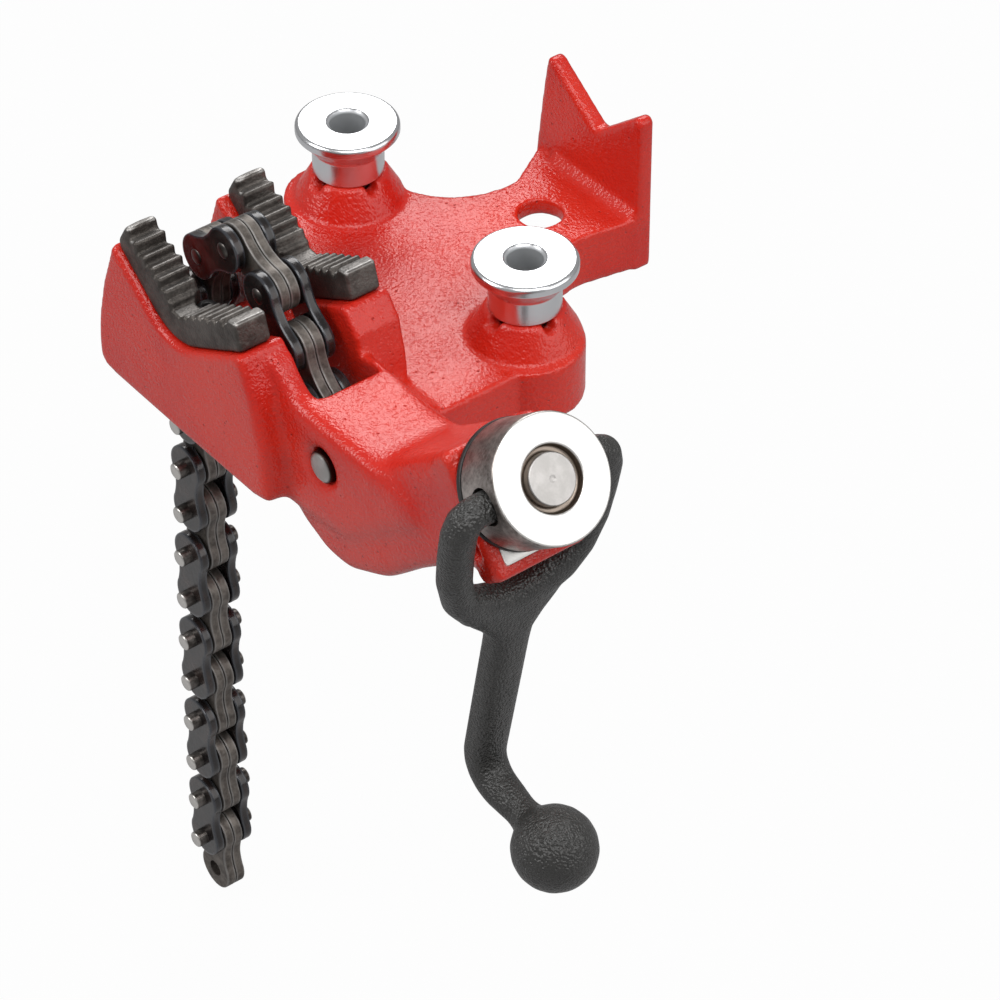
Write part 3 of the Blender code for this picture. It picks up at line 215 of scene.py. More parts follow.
above_axis, beside = measured(screw_up), measured((0, 1, 0))
bare = measured(screw_way).within(PAD_FROM_FACE - 2 * FEATHER, PAD_FROM_FACE - FEATHER)
bare = bare * above_axis.within(-PAD_BELOW + 4 * FEATHER, -PAD_BELOW + 5 * FEATHER)
bare = bare * beside.within(-PAD_HALF + 4 * FEATHER, -PAD_HALF + 5 * FEATHER)
bare = bare * (1 - beside.within(PAD_HALF - 5 * FEATHER, PAD_HALF - 4 * FEATHER))
red = enamel.blend(enamel.noise(26, 3.0).within(0.3, 0.7), (0.53, 0.013, 0.007), (0.61, 0.024, 0.011))
red = enamel.blend(pits * 0.55, red, (0.24, 0.004, 0.003))
enamel.set(Base_Color=enamel.blend(bare, red, (0.60, 0.59, 0.57)), Metallic=bare * 0.9,
           Roughness=0.22 + peel * 0.06 + bare * 0.14, Specular_IOR_Level=0.5)
relief = waves * 0.3 + peel * (0.14 + patches * 0.16) + grit * 0.12 - pits * 0.25
enamel.bump(relief * (1 - bare * 0.9), 1.2 * MM)

# %% [markdown]
# Steels
#
# The jaws are dark, oiled tool steel whose crests have been worn bright by use. That wear is shown only where
# the crests face up, and faces turned straight up are painted lighter still: part real wear, part painted
# highlight. The spools and the nut are plated: the spools mirror-bright, the nut satin. Bright metal shows
# mostly what surrounds it, so these finishes need little colour, only the marks of turning and a roughness
# that is not even.

# %% Jaw steel
jaw_steel = Finish("jaw_steel")
mottle = jaw_steel.noise(130, 6.0, 0.65)
sand = jaw_steel.noise(1000, 1.0, 0.5)
worn_edge = jaw_steel.attribute("worn").within(0.02, 0.2)
surface_way = jaw_steel.add("ShaderNodeTexCoord", {}, {}, "Normal")
facing_up = jaw_steel.add("ShaderNodeSeparateXYZ", {}, {0: surface_way}, "Z")
# Real wear mixed with a painted highlight: crests are brightened only where they face up, and faces turned
# straight up are painted lighter.
rub_and_painted_top_highlight = worn_edge * facing_up.within(0.1, 0.7) * 0.5 + facing_up.within(0.9, 0.99) * 0.3
rub_and_painted_top_highlight_mix = (rub_and_painted_top_highlight * (0.6 + mottle * 0.6)).within(0.0, 1.0)
tone = jaw_steel.blend(mottle.within(0.3, 0.72), (0.055, 0.048, 0.043), (0.135, 0.121, 0.110))
jaw_steel.set(Base_Color=jaw_steel.blend(rub_and_painted_top_highlight_mix, tone, (0.66, 0.64, 0.62)), Metallic=0.8,
              Roughness=0.48 - rub_and_painted_top_highlight * 0.16 + sand * 0.1)
jaw_steel.bump(mottle * 0.2 + sand * 0.6, 0.4 * MM)

# %% Bright plating of the spools
plating = Finish("plated_steel")
turning = plating.noise(1.0, 3.0, 0.5, plating.vectors("MULTIPLY", plating.place, (160, 160, 3600)))
cloud = plating.noise(60, 3.0)
bore_mark = plating.attribute("bore")
bright = plating.blend(cloud, (0.68, 0.69, 0.71), (0.77, 0.775, 0.79))
plating.set(Base_Color=plating.blend(bore_mark, bright, (0.34, 0.35, 0.36)), Metallic=1.0 - bore_mark * 0.7,
            Roughness=0.17 + cloud * 0.08 + turning * 0.04 + bore_mark * 0.25)
plating.bump(turning, 0.03 * MM)

# %% Satin plating of the nut
satin = Finish("nut_plating")
ring_place = satin.vectors("SUBTRACT", satin.place, tuple(nut_face))
from_axis = satin.vectors("CROSS_PRODUCT", ring_place, tuple(screw_way))
ring_radius = satin.add("ShaderNodeVectorMath", {"operation": "LENGTH"}, {0: from_axis}, "Value")
rings = satin.add("ShaderNodeTexNoise", {"noise_dimensions": "1D"},
                  {"W": ring_radius, "Scale": 2600.0, "Detail": 2.0})
grain = satin.noise(700, 5.0, 0.7)
stain = satin.noise(110, 5.0, 0.6)
flank = satin.attribute("flank")
face_tone = satin.blend(stain, (0.78, 0.765, 0.74), (0.90, 0.885, 0.86))
flank_mask = (stain * 0.6 + grain * 0.5).within(0.38, 0.72)
flank_tone = satin.blend(flank_mask, (0.15, 0.125, 0.115), (0.52, 0.47, 0.44))
outer_tone = satin.blend(flank, face_tone, flank_tone)
satin.set(Base_Color=satin.blend(satin.attribute("groove"), outer_tone, (0.30, 0.25, 0.21)), Metallic=1.0,
          Roughness=0.27 + rings * 0.08 + grain * 0.06 + flank * 0.03)
satin.bump(rings * (1 - flank) * 0.4 + grain * flank, 0.07 * MM)

# %% Turned steel of the screw and the guide pin
turned = Finish("screw_steel")
wear = turned.noise(170, 6.0, 0.65)
turned_tone = turned.blend(wear.within(0.35, 0.7), (0.40, 0.385, 0.37), (0.51, 0.49, 0.475))
# The guide pin's outer edge is painted nearly black: a painted shadow from its hole.
turned.set(Base_Color=turned.blend(turned.attribute("gap"), turned_tone, (0.03, 0.015, 0.012)), Metallic=1.0,
           Roughness=0.30 + wear * 0.16)
turned.bump(wear * 0.6 + turned.noise(1400, 3.0) * 0.4, 0.12 * MM)

# %% Black steel of the small screws and the washer
blacked = Finish("dark_steel")
bloom = blacked.noise(240, 4.0)
blacked.set(Base_Color=blacked.blend(bloom, (0.020, 0.020, 0.021), (0.055, 0.053, 0.052)), Metallic=0.6,
            Roughness=0.33 + bloom * 0.2)
blacked.bump(bloom, 0.06 * MM)

# %% [markdown]
# Chain and crank
#
# The chain's outer leaves are blackened and oiled, so they stay nearly black but flash along their
# rounded edges. The inner leaves are bare, grey-brown and mottled. The crank is a casting under black
# powder coat, whose grain is fine enough to look like sandpaper.

# %% Outer leaves
black_leaf = Finish("black_plate")
film = black_leaf.noise(85, 5.0, 0.6)
rim = black_leaf.attribute("rim")
leaf_tone = black_leaf.blend(film.within(0.42, 0.68), (0.010, 0.008, 0.008), (0.036, 0.024, 0.021))
# The rim is painted a lighter bluish grey: a painted highlight along the rounded edge.
black_leaf.set(Base_Color=black_leaf.blend(rim, leaf_tone, (0.04, 0.043, 0.05)), Metallic=0.3,
               Roughness=0.16 + film * 0.18, Coat_Weight=0.45, Coat_Roughness=0.12)
black_leaf.bump(film * 0.7 + black_leaf.noise(480, 3.0) * 0.5, 0.24 * MM)

# %% Inner leaves
bare_leaf = Finish("link_steel")
rust = bare_leaf.noise(210, 7.0, 0.7)
bare_rim = bare_leaf.attribute("rim")
bare_tone = bare_leaf.blend(rust.within(0.32, 0.7), (0.062, 0.052, 0.045), (0.20, 0.178, 0.158))
# The rim is painted half way to a light grey: a painted highlight along the edge.
bare_leaf.set(Base_Color=bare_leaf.blend(bare_rim * 0.5, bare_tone, (0.34, 0.33, 0.32)), Metallic=0.65,
              Roughness=0.40 + rust * 0.15)
bare_leaf.bump(rust * 0.7 + bare_leaf.noise(1300, 3.0) * 0.3, 0.16 * MM)

# %% Pins of the chain
pin_steel = Finish("pin_steel")
smear = pin_steel.noise(260, 5.0)
bright_end = pin_steel.attribute("bright")
pin_tone = pin_steel.blend(smear.within(0.35, 0.7), (0.05, 0.044, 0.040), (0.17, 0.155, 0.145))
pin_steel.set(Base_Color=pin_steel.blend(bright_end, pin_tone, (0.66, 0.64, 0.61)), Metallic=0.95,
              Roughness=0.26 + smear * 0.12)
pin_steel.bump(smear, 0.06 * MM)

# %% Powder coat of the crank
powder = Finish("crank_coating")
sandpaper = powder.noise(1250, 0.0)
lumps = powder.noise(190, 3.0)
powder.set(Base_Color=powder.blend(lumps, (0.020, 0.0195, 0.0185), (0.038, 0.0365, 0.034)),
           Roughness=0.3 + sandpaper * 0.12, Specular_IOR_Level=0.6)
powder.bump(sandpaper * 0.7 + lumps * 0.4, 1.0 * MM)
print("finishes:", len(bpy.data.materials))

# %% [markdown]
# Helpers for meshes
#
# Two ways of making metal cover most of this vise. What was cast is remeshed from its solid into small
# even faces and then relaxed, which turns every sharp inside corner into a fillet, as a mould has. What
# was turned on a lathe is one profile, with its corners rounded, swept about an axis. Flat pieces are
# rings of points joined by bridge().


# %% Mesh helpers
JOINED_WITHIN = 0.002 * MM


def plain_copy(node_name, name):
    """A copy of a CAD node's mesh, with its loose corners joined up."""
    mesh = nodes[node_name].data.copy()
    obj = bpy.data.objects.new(name, mesh)
    bpy.context.scene.collection.objects.link(obj)
    bm = bmesh.new()
    bm.from_mesh(mesh)
    bmesh.ops.remove_doubles(bm, verts=bm.verts, dist=JOINED_WITHIN)
    bm.to_mesh(mesh)
    bm.free()
    mesh.materials.clear()
    return obj


def settle(obj):
    """Turn the object with its modifiers into a plain mesh."""
    bpy.context.view_layer.update()
    evaluated = obj.evaluated_get(bpy.context.evaluated_depsgraph_get())
    mesh = bpy.data.meshes.new_from_object(evaluated)
    obj.modifiers.clear()
    obj.data = mesh
    return obj


def mesh_object(name, bm, material):
    mesh = bpy.data.meshes.new(name)
    bm.to_mesh(mesh)
    bm.free()
    obj = bpy.data.objects.new(name, mesh)
    bpy.context.scene.collection.objects.link(obj)
    mesh.materials.append(material)
    return obj


def bridge(bm, rings):
    """Join equal rings of points, one after another, with faces of four corners, and close both ends."""
    for first, second in zip(rings, rings[1:]):
        for i in range(len(first)):
            j = (i + 1) % len(first)
            bm.faces.new((first[i], first[j], second[j], second[i]))
    bm.faces.new(list(reversed(rings[0])))
    bm.faces.new(rings[-1])
    bmesh.ops.recalc_face_normals(bm, faces=bm.faces)


def shade(obj, angle_deg=40.0):
    obj.data.shade_smooth()
    obj.data.set_sharp_from_angle(angle=math.radians(angle_deg))
    return obj


def paint(obj, name, rule):
    """Write rule(position, normal) for every corner of every face into an attribute."""
    mesh = obj.data
    layer = mesh.attributes.new(name, "FLOAT", "CORNER")
    values = [0.0] * len(mesh.loops)
    for face in mesh.polygons:
        for k in face.loop_indices:
            values[k] = rule(mesh.vertices[mesh.loops[k].vertex_index].co, face.normal)
    layer.data.foreach_set("value", values)
    return obj


def finish_piece(obj, body, slot, *replaced):
    """Put the piece on the body it rides on and hide the nodes it stands for. The slot argument is not used.
    """
    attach(obj, body)
    if replaced:
        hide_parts(*replaced)
    return obj


# %% [markdown]
# Relaxing a casting
#
# Voxel remeshing gives even faces but a stair-stepped surface, so each point first drops onto the solid it
# came from. Every point then moves towards the middle of its neighbours and a little more than that back
# out again, which takes the jagged edges away and keeps the size. In the last rounds it only moves in,
# which gives soft, poured shapes. The ease rule says how many of those rounds a point takes part in, and
# the worn attribute keeps how far each point went in, in millimetres: it is high along outer edges.


# %% Casting helper
FAIR_IN, FAIR_OUT, RELAX = 0.6, -0.63, 0.5


def cast(obj, voxel, rounds, ease, fairing=12):
    """Remesh the object into faces of about one voxel, fair them and relax them where ease allows it."""
    solid = BVHTree.FromObject(obj, bpy.context.evaluated_depsgraph_get())
    remesh = obj.modifiers.new("even_faces", "REMESH")
    remesh.mode = "VOXEL"
    remesh.voxel_size = voxel
    settle(obj)
    mesh = obj.data
    points = np.array([solid.find_nearest(vertex.co)[0] for vertex in mesh.vertices])
    start = points.copy()
    count = len(points)
    edges = np.zeros(len(mesh.edges) * 2, int)
    mesh.edges.foreach_get("vertices", edges)
    a, b = edges.reshape(-1, 2).T
    degree = np.maximum(np.bincount(np.concatenate((a, b)), minlength=count), 1)[:, None]
    share = ease(points)[:, None]

    def step(amount):
        total = np.zeros_like(points)
        for axis in range(3):
            total[:, axis] = np.bincount(a, points[b, axis], count) + np.bincount(b, points[a, axis], count)
        return (total / degree - points) * amount

    for k in range(fairing):
        points += step(FAIR_IN)
        points += step(FAIR_OUT)
    for k in range(rounds):
        points += step(RELAX) * (share > k / rounds)
    mesh.vertices.foreach_set("co", points.ravel())
    mesh.update()
    normals = np.zeros(count * 3)
    mesh.vertices.foreach_get("normal", normals)
    worn = ((start - points) * normals.reshape(-1, 3)).sum(axis=1) / MM
    mesh.attributes.new("worn", "FLOAT", "POINT").data.foreach_set("value", worn)
    mesh.shade_smooth()
    return obj


# %% [markdown]
# Turning on a lathe
#
# soften() rounds the corners of a profile, as a lathe tool does, and lathe() sweeps it. An edge of half
# a millimetre is what catches the light on real turned parts, so no corner here is left sharp.


# %% Lathe helpers
def soften(profile, radius, steps=3):
    """Round every corner of a list of (radius, height) points, except for its two ends."""
    out = [profile[0]]
    for before, corner, after in zip(profile, profile[1:], profile[2:]):
        c = Vector(corner)
        to_before, to_after = Vector(before) - c, Vector(after) - c
        reach = min(radius, to_before.length * 0.45, to_after.length * 0.45)
        start, end = c + to_before.normalized() * reach, c + to_after.normalized() * reach
        for k in range(steps + 1):
            t = k / steps
            point = start * (1 - t) ** 2 + c * 2 * t * (1 - t) + end * t * t
            out.append((point.x, point.y))
    out.append(profile[-1])
    return out


def axis_place(origin, direction):
    """The place whose Z axis starts at origin and runs along direction."""
    return Matrix.Translation(origin) @ direction.to_track_quat("Z", "Y").to_matrix().to_4x4()


def on_circle(radius, turn, height):
    """A point of a circle about Z. The turn is a share of a whole turn."""
    angle = 2 * math.pi * turn
    return Vector((radius * math.cos(angle), radius * math.sin(angle), height))


ON_AXIS = 1e-9


def lathe(name, profile, place, material, steps=96):
    """Sweep (radius, height) points about the Z axis of place. Off the axis, the ends are joined up."""
    bm = bmesh.new()
    rings = []
    for radius, height in profile:
        if radius < ON_AXIS:
            rings.append([bm.verts.new(place @ Vector((0, 0, height)))])
            continue
        rings.append([bm.verts.new(place @ on_circle(radius, i / steps, height)) for i in range(steps)])
    pairs = list(zip(rings, rings[1:]))
    if len(rings[0]) > 1 and len(rings[-1]) > 1:
        pairs.append((rings[-1], rings[0]))
    for first, second in pairs:
        for i in range(steps):
            j = (i + 1) % steps
            corners = [first[i % len(first)], first[j % len(first)],
                       second[j % len(second)], second[i % len(second)]]
            corners = list(dict.fromkeys(corners))
            if len(corners) > 2:
                bm.faces.new(corners)
    bmesh.ops.recalc_face_normals(bm, faces=bm.faces)
    return shade(mesh_object(name, bm, material))


def drill(obj, radius, start, end, place, steps):
    """Cut a round hole, from start to end along the Z axis of place."""
    material = obj.data.materials[0]
    bit = lathe("drill", [(0, start), (radius, start), (radius, end), (0, end)], place, material, steps)
    cutter = obj.modifiers.new("drill", "BOOLEAN")
    cutter.operation = "DIFFERENCE"
    cutter.solver = "EXACT"
    cutter.object = bit
    settle(obj)
    bpy.data.objects.remove(bit)


# %% [markdown]
# The base casting
#
# One casting carries everything: the flange that is bolted to the bench, two bosses, the V rest, the
# two jaw walls and the housing of the screw. The housing flows into its collar with large radii, while
# the rest of the casting has small ones. The pad at the end of the collar was machined flat.

# %% Base casting
CASTING_VOXEL = 1.1 * MM
CASTING_ROUNDS = 50
LEAST_EASE, FLOWING_EASE, WAIST_EASE = 0.025, 0.9, 0.2
HOUSING_FROM, HOUSING_FULL, HOUSING_FRONT_OF = 62 * MM, 78 * MM, -52 * MM
CORNER_FROM, CORNER_FULL, CORNER_FRONT_OF = 40 * MM, 56 * MM, -86 * MM
WAIST_FROM, WAIST_TO, WAIST_TOP = 26 * MM, 66 * MM, 20 * MM
CRISP_COLLAR = 10 * MM
CRISP_PAD = 1.5 * MM


def ramp(values, low, high):
    """0 below low, 1 above high, straight in between."""
    return np.clip((values - low) / (high - low), 0, 1)


def casting_ease(points):
    """Small radii on most edges, and a flowing housing and waist. The pad behind the nut stays crisp."""
    x, y, z = points.T
    along = (points - np.array(nut_face)) @ np.array(screw_way)
    housing = ramp(x, HOUSING_FROM, HOUSING_FULL) * (y < HOUSING_FRONT_OF)
    wall_corner = ramp(x, CORNER_FROM, CORNER_FULL) * (y < CORNER_FRONT_OF)
    collar = ramp(along, PAD_FROM_FACE - CRISP_COLLAR - 3 * MM, PAD_FROM_FACE - CRISP_COLLAR)
    waist = WAIST_EASE * (y > WAIST_FROM) * (y < WAIST_TO) * (z < WAIST_TOP)
    ease = LEAST_EASE + FLOWING_EASE * np.maximum(housing, wall_corner) * (1 - collar) + waist
    return np.where(along > PAD_FROM_FACE - CRISP_PAD, 0, ease)


casting = cast(plain_copy("base_casting", "casting"), CASTING_VOXEL, CASTING_ROUNDS, casting_ease)
casting.data.materials.append(enamel.material)
finish_piece(casting, "base", "red_enamel", "base_casting")
print("casting faces:", len(casting.data.polygons))

# %% [markdown]
# The jaws
#
# Each jaw is a forged, toothed steel bar that lies in the V of its wall. Fine faces keep its teeth crisp.
# Its tip is worn round towards both sides and its pad has soft edges, so the ease rule is highest there.

# %% Jaws
JAW_VOXEL = 0.42 * MM
JAW_ROUNDS = 40
JAW_FAIRING = 3
TIP_SIZE = 9 * MM
END_PAD_LENGTH = 8.5 * MM
TOOTH_EASE, END_PAD_EASE = 0.02, 0.3


def make_jaw(node_name):
    low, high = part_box(node_name)
    half = (high.y - low.y) / 2

    def ease(points):
        x, y, z = points.T
        to_side = np.abs(y - low.y - half) / half
        tip = (x < low.x + TIP_SIZE) * (z > high.z - TIP_SIZE) * (0.06 + 0.8 * to_side ** 2)
        end_pad = (x > high.x - END_PAD_LENGTH) * END_PAD_EASE
        return np.maximum(np.maximum(tip, end_pad), TOOTH_EASE)

    jaw = cast(plain_copy(node_name, node_name + "_dressed"), JAW_VOXEL, JAW_ROUNDS, ease, JAW_FAIRING)
    jaw.data.materials.append(jaw_steel.material)
    return finish_piece(jaw, "base", "jaw_steel", node_name)


make_jaw("front_jaw")
make_jaw("rear_jaw")

# %% [markdown]
# The jaw screws
#
# A small socket screw holds each jaw down. Its head is turned and has a round, tapered socket.

# %% Jaw screws
HEAD_RADIUS = 3.3 * MM
HEAD_HEIGHT = 3.6 * MM
SHANK_RADIUS = 1.9 * MM
SOCKET_RADIUS = 1.6 * MM


def make_jaw_screw(node_name):
    low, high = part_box(node_name)
    centre = (low + high) / 2
    top, head = high.z, high.z - HEAD_HEIGHT
    profile = [(0, low.z), (SHANK_RADIUS, low.z), (SHANK_RADIUS, head), (HEAD_RADIUS, head),
               (HEAD_RADIUS, top), (SOCKET_RADIUS * 1.15, top), (SOCKET_RADIUS, top - 0.3 * MM),
               (SOCKET_RADIUS, top - 1.8 * MM), (0, top - 2.1 * MM)]
    place = Matrix.Translation((centre.x, centre.y, 0))
    screw = lathe(node_name + "_dressed", soften(profile, 0.35 * MM), place, blacked.material, 36)
    return finish_piece(screw, "base", "dark_steel", node_name)


make_jaw_screw("front_jaw_screw")
make_jaw_screw("rear_jaw_screw")

# %% [markdown]
# The spools
#
# Two plated spools stand in the bosses and take the bench bolts. Each is one profile: a neck, a cone,
# a narrow rim, a flat top and the bore. The rim and the edge of the bore are what flash.


# %% Spools
SPOOL_BORE = 6.0 * MM
SPIGOT_RADIUS = 8.55 * MM
SPIGOT_LENGTH = 7.3 * MM
NECK_RADIUS = 12.1 * MM


def make_spool(node_name):
    low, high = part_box(node_name)
    centre = (low + high) / 2
    foot, top, shoulder = low.z, high.z, low.z + SPIGOT_LENGTH
    bore, rim = SPOOL_BORE, (high.x - low.x) / 2 + 0.08 * MM
    profile = [(bore, foot), (SPIGOT_RADIUS, foot), (SPIGOT_RADIUS, shoulder), (NECK_RADIUS, shoulder),
               (NECK_RADIUS + 0.05 * MM, top - 10.2 * MM), (NECK_RADIUS + 0.9 * MM, top - 8.6 * MM),
               (rim - 0.5 * MM, top - 3.9 * MM), (rim, top - 3.4 * MM), (rim, top - 1.3 * MM),
               (rim - 0.4 * MM, top - 0.5 * MM), (rim - 1.2 * MM, top), (bore + 1.2 * MM, top),
               (bore + 0.1 * MM, top - 1.0 * MM), (bore, top - 1.3 * MM), (bore, foot)]
    place = Matrix.Translation((centre.x, centre.y, 0))
    spool = lathe(node_name + "_dressed", soften(profile, 0.4 * MM)[:-1], place, plating.material)

    def in_bore(point, normal):
        return 1.0 if math.hypot(point.x - centre.x, point.y - centre.y) < bore + 0.3 * MM else 0.0

    paint(spool, "bore", in_bore)
    return finish_piece(spool, "base", "plated_steel", node_name)


make_spool("left_spool")
make_spool("right_spool")

# %% [markdown]
# The guide pin
#
# A steel pin crosses the housing and turns the chain. Its end is slightly domed. The edge round it lies
# in the shadow of its hole, so it is dark.

# %% Guide pin
pin_low, pin_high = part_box("guide_pin")
pin_centre = (pin_low + pin_high) / 2
pin_length = pin_high.y - pin_low.y
PIN_RADIUS = 5.5 * MM
DARK_EDGE = 0.5 * MM
pin_profile = [(0, 0), (PIN_RADIUS - 1.2 * MM, 0.12 * MM), (PIN_RADIUS - 0.1 * MM, 0.8 * MM),
               (PIN_RADIUS, 1.2 * MM), (PIN_RADIUS, pin_length - 0.8 * MM),
               (PIN_RADIUS - 0.8 * MM, pin_length), (0, pin_length)]
pin_place = axis_place(Vector((pin_centre.x, pin_low.y, pin_centre.z)), ALONG_PIPE)
guide_pin = lathe("guide_pin_dressed", soften(pin_profile, 0.4 * MM), pin_place, turned.material, 48)


def on_pin_edge(point, normal):
    from_middle = math.hypot(point.x - pin_centre.x, point.z - pin_centre.z)
    return 1.0 if from_middle > PIN_RADIUS - DARK_EDGE else 0.0


# Marks the pin's outer edge for its painted shadow.
paint(guide_pin, "gap", on_pin_edge)
finish_piece(guide_pin, "base", "screw_steel", "guide_pin")

# %% [markdown]
# Nut, washer and screw
#
# The nut is turned and plated, with a shallow recess for the screw's end and two side holes for the
# crank's prongs. Face, flank and the groove round the screw differ: the face is bright satin, the flank
# grainy and darker, the groove brown, so attributes tell them apart.

# %% Nut
NUT_RADIUS = 20.25 * MM
NUT_THICKNESS = 19.7 * MM
NUT_BORE = 8.0 * MM
RECESS_RADIUS = 10.3 * MM
RECESS_DEPTH = 3.0 * MM
SIDE_HOLE_RADIUS = 6.2 * MM
SIDE_HOLE_FROM, SIDE_HOLE_TO = 12.3 * MM, 26.3 * MM
nut_place = axis_place(nut_face, screw_way)
nut_profile = [(NUT_BORE, -NUT_THICKNESS), (NUT_RADIUS, -NUT_THICKNESS), (NUT_RADIUS, 0), (RECESS_RADIUS, 0),
               (RECESS_RADIUS, -RECESS_DEPTH), (NUT_BORE, -RECESS_DEPTH), (NUT_BORE, -NUT_THICKNESS)]
nut = lathe("nut", soften(nut_profile, 1.0 * MM, 4)[:-1], nut_place, satin.material, 128)
for side in (-1, 1):
    drill(nut, SIDE_HOLE_RADIUS, SIDE_HOLE_FROM, SIDE_HOLE_TO, axis_place(crank_pivot, ALONG_PIPE * side), 40)
while len(nut.data.materials) > 1:
    nut.data.materials.pop()
for face in nut.data.polygons:
    face.material_index = 0
shade(nut, 35)
paint(nut, "flank", lambda point, normal: 1.0 if abs(normal.dot(screw_way)) < 0.75 else 0.0)


def in_groove(point, normal):
    away = point - nut_face
    depth = away.dot(screw_way)
    from_middle = (away - screw_way * depth).length
    return 1.0 if from_middle < RECESS_RADIUS + 0.4 * MM and depth < -0.5 * MM else 0.0


paint(nut, "groove", in_groove)
finish_piece(nut, "nut", "nut_plating", "screw_nut")

# %% Washer
WASHER_BORE, WASHER_RADIUS = 8.1 * MM, 20.4 * MM
WASHER_BACK, WASHER_FRONT = -22.0 * MM, -20.0 * MM
washer_profile = [(WASHER_BORE, WASHER_BACK), (WASHER_RADIUS, WASHER_BACK), (WASHER_RADIUS, WASHER_FRONT),
                  (WASHER_BORE, WASHER_FRONT), (WASHER_BORE, WASHER_BACK)]
washer = lathe("washer", soften(washer_profile, 0.4 * MM)[:-1], nut_place, blacked.material)
finish_piece(washer, "base", "dark_steel", "thrust_washer")

# %% [markdown]
# The screw has a rolled thread. It is one surface whose radius goes up and down along a helix, which
# is simpler than sweeping a tooth, and it ends in a turned tip with a small centre mark. The eye at its
# other end is flat and holds the chain's first pin.

# %% Screw
THREAD_LEAD = 2.309 * MM
THREAD_RADIUS = 7.55 * MM
THREAD_DEPTH = 1.1 * MM
THREAD_STEPS = 40
RINGS_PER_LEAD = 8
TOOTH_SLOPE, ROOT_WIDTH = 1.5, 0.25
THREAD_END = -3.2 * MM
THREAD_FADE = 1.5 * MM
THREAD_FROM_EYE = 10.5 * MM
TIP_RADIUS, TIP_LENGTH = 8.2 * MM, 4.5 * MM
EYE_RADIUS, EYE_REACH, EYE_HALF, EYE_HOLE = 7.2 * MM, 11.0 * MM, 3.65 * MM, 3.1 * MM
eye = chain_pins[0]
height = (eye - nut_face).dot(screw_way) + THREAD_FROM_EYE
heights = []
while height < THREAD_END:
    heights.append(height)
    height += THREAD_LEAD / RINGS_PER_LEAD
bm = bmesh.new()
rings = []
for height in heights:
    ring = []
    for i in range(THREAD_STEPS):
        turn = i / THREAD_STEPS
        phase = (height / THREAD_LEAD - turn) % 1.0
        tooth = min(1.0, max(0.0, abs(phase * 2 - 1) * TOOTH_SLOPE - ROOT_WIDTH))
        fade = min(1.0, (heights[-1] - height) / THREAD_FADE)
        radius = THREAD_RADIUS - THREAD_DEPTH * (1 - tooth) * fade
        ring.append(bm.verts.new(nut_place @ on_circle(radius, turn, height)))
    rings.append(ring)
bridge(bm, rings)
thread = shade(mesh_object("thread", bm, turned.material), 60)
tip_profile = [(0, -TIP_LENGTH), (TIP_RADIUS, -TIP_LENGTH), (TIP_RADIUS, -0.4 * MM),
               (TIP_RADIUS - 0.3 * MM, 0), (1.2 * MM, 0), (0, -0.35 * MM)]
tip = lathe("tip", soften(tip_profile, 0.25 * MM), nut_place, turned.material, 72)


def eye_outline(steps=24):
    """Round about the first pin, then straight to the screw's shoulder, as (along, above) of the axis."""
    points = []
    for k in range(steps + 1):
        angle = math.pi / 2 + math.pi * k / steps
        points.append((EYE_RADIUS * math.cos(angle), EYE_RADIUS * math.sin(angle)))
    return points + [(EYE_REACH, -EYE_RADIUS), (EYE_REACH, EYE_RADIUS)]


bm = bmesh.new()
bridge(bm, [[bm.verts.new(eye + screw_way * along + screw_up * above + ALONG_PIPE * aside)
             for along, above in eye_outline()] for aside in (-EYE_HALF, EYE_HALF)])
lug = mesh_object("lug", bm, turned.material)
drill(lug, EYE_HOLE, -6 * MM, 6 * MM, axis_place(eye, ALONG_PIPE), 32)
rounding = lug.modifiers.new("rounding", "BEVEL")
rounding.width = 0.5 * MM
rounding.segments = 2
rounding.limit_method = "ANGLE"
shade(settle(lug), 35)

finish_piece(thread, "screw", "screw_steel", "chain_screw")
finish_piece(tip, "screw", "screw_steel")
finish_piece(lug, "screw", "screw_steel")

# %% [markdown]
# The crank
#
# The crank is a casting like the base: a fork that hugs the nut, a stem and a ball. A finer remesh and
# more relaxing give it its soft, poured look.


# %% Crank
CRANK_VOXEL = 0.85 * MM
CRANK_ROUNDS = 8
PRONG_REACH, PRONG_RADIUS = 16 * MM, 6.5 * MM


def crank_ease(points):
    """The ends of the prongs keep their shape, so that they fit the nut's holes."""
    away = points - np.array(crank_pivot)
    from_axis = np.linalg.norm(away[:, [0, 2]], axis=1)
    return np.where((np.abs(away[:, 1]) < PRONG_REACH) & (from_axis < PRONG_RADIUS), 0.1, 1.0)


crank = cast(plain_copy("crank_handle", "crank"), CRANK_VOXEL, CRANK_ROUNDS, crank_ease)
crank.data.materials.append(powder.material)
finish_piece(crank, "crank", "crank_coating", "crank_handle")
print("crank faces:", len(crank.data.polygons))

# %% [markdown]
# The chain's leaves and pins
#
# A leaf is a figure of eight with a rounded edge. Its rim is marked with an attribute, because the blackened
# edge flashes: the finishes paint the rim lighter, a painted highlight along the edge. A link is two leaves
# and, for an outer link, two pins, so the pattern repeats eleven times: Geometry Nodes set the leaves and the
# pins in place from one leaf and one pin.

# %% Leaf and pin
LEAF_RADIUS = 8.0 * MM
LEAF_WAIST = 6.0 * MM
LEAF_ROUND_DEG = 118
WAIST_STEPS = 6
WAIST_CURVE = 1.7
LEAF_HOLE = 3.12 * MM
CHAIN_PIN_RADIUS = 3.0 * MM
OUTER_THICKNESS, OUTER_SPACING, OUTER_EDGE = 3.4 * MM, 12.0 * MM, 0.42 * MM
INNER_THICKNESS, INNER_SPACING, INNER_EDGE = 3.5 * MM, 3.8 * MM, 0.3 * MM
SHORT_PIN_HALF, LONG_PIN_HALF = 8.1 * MM, 11.7 * MM


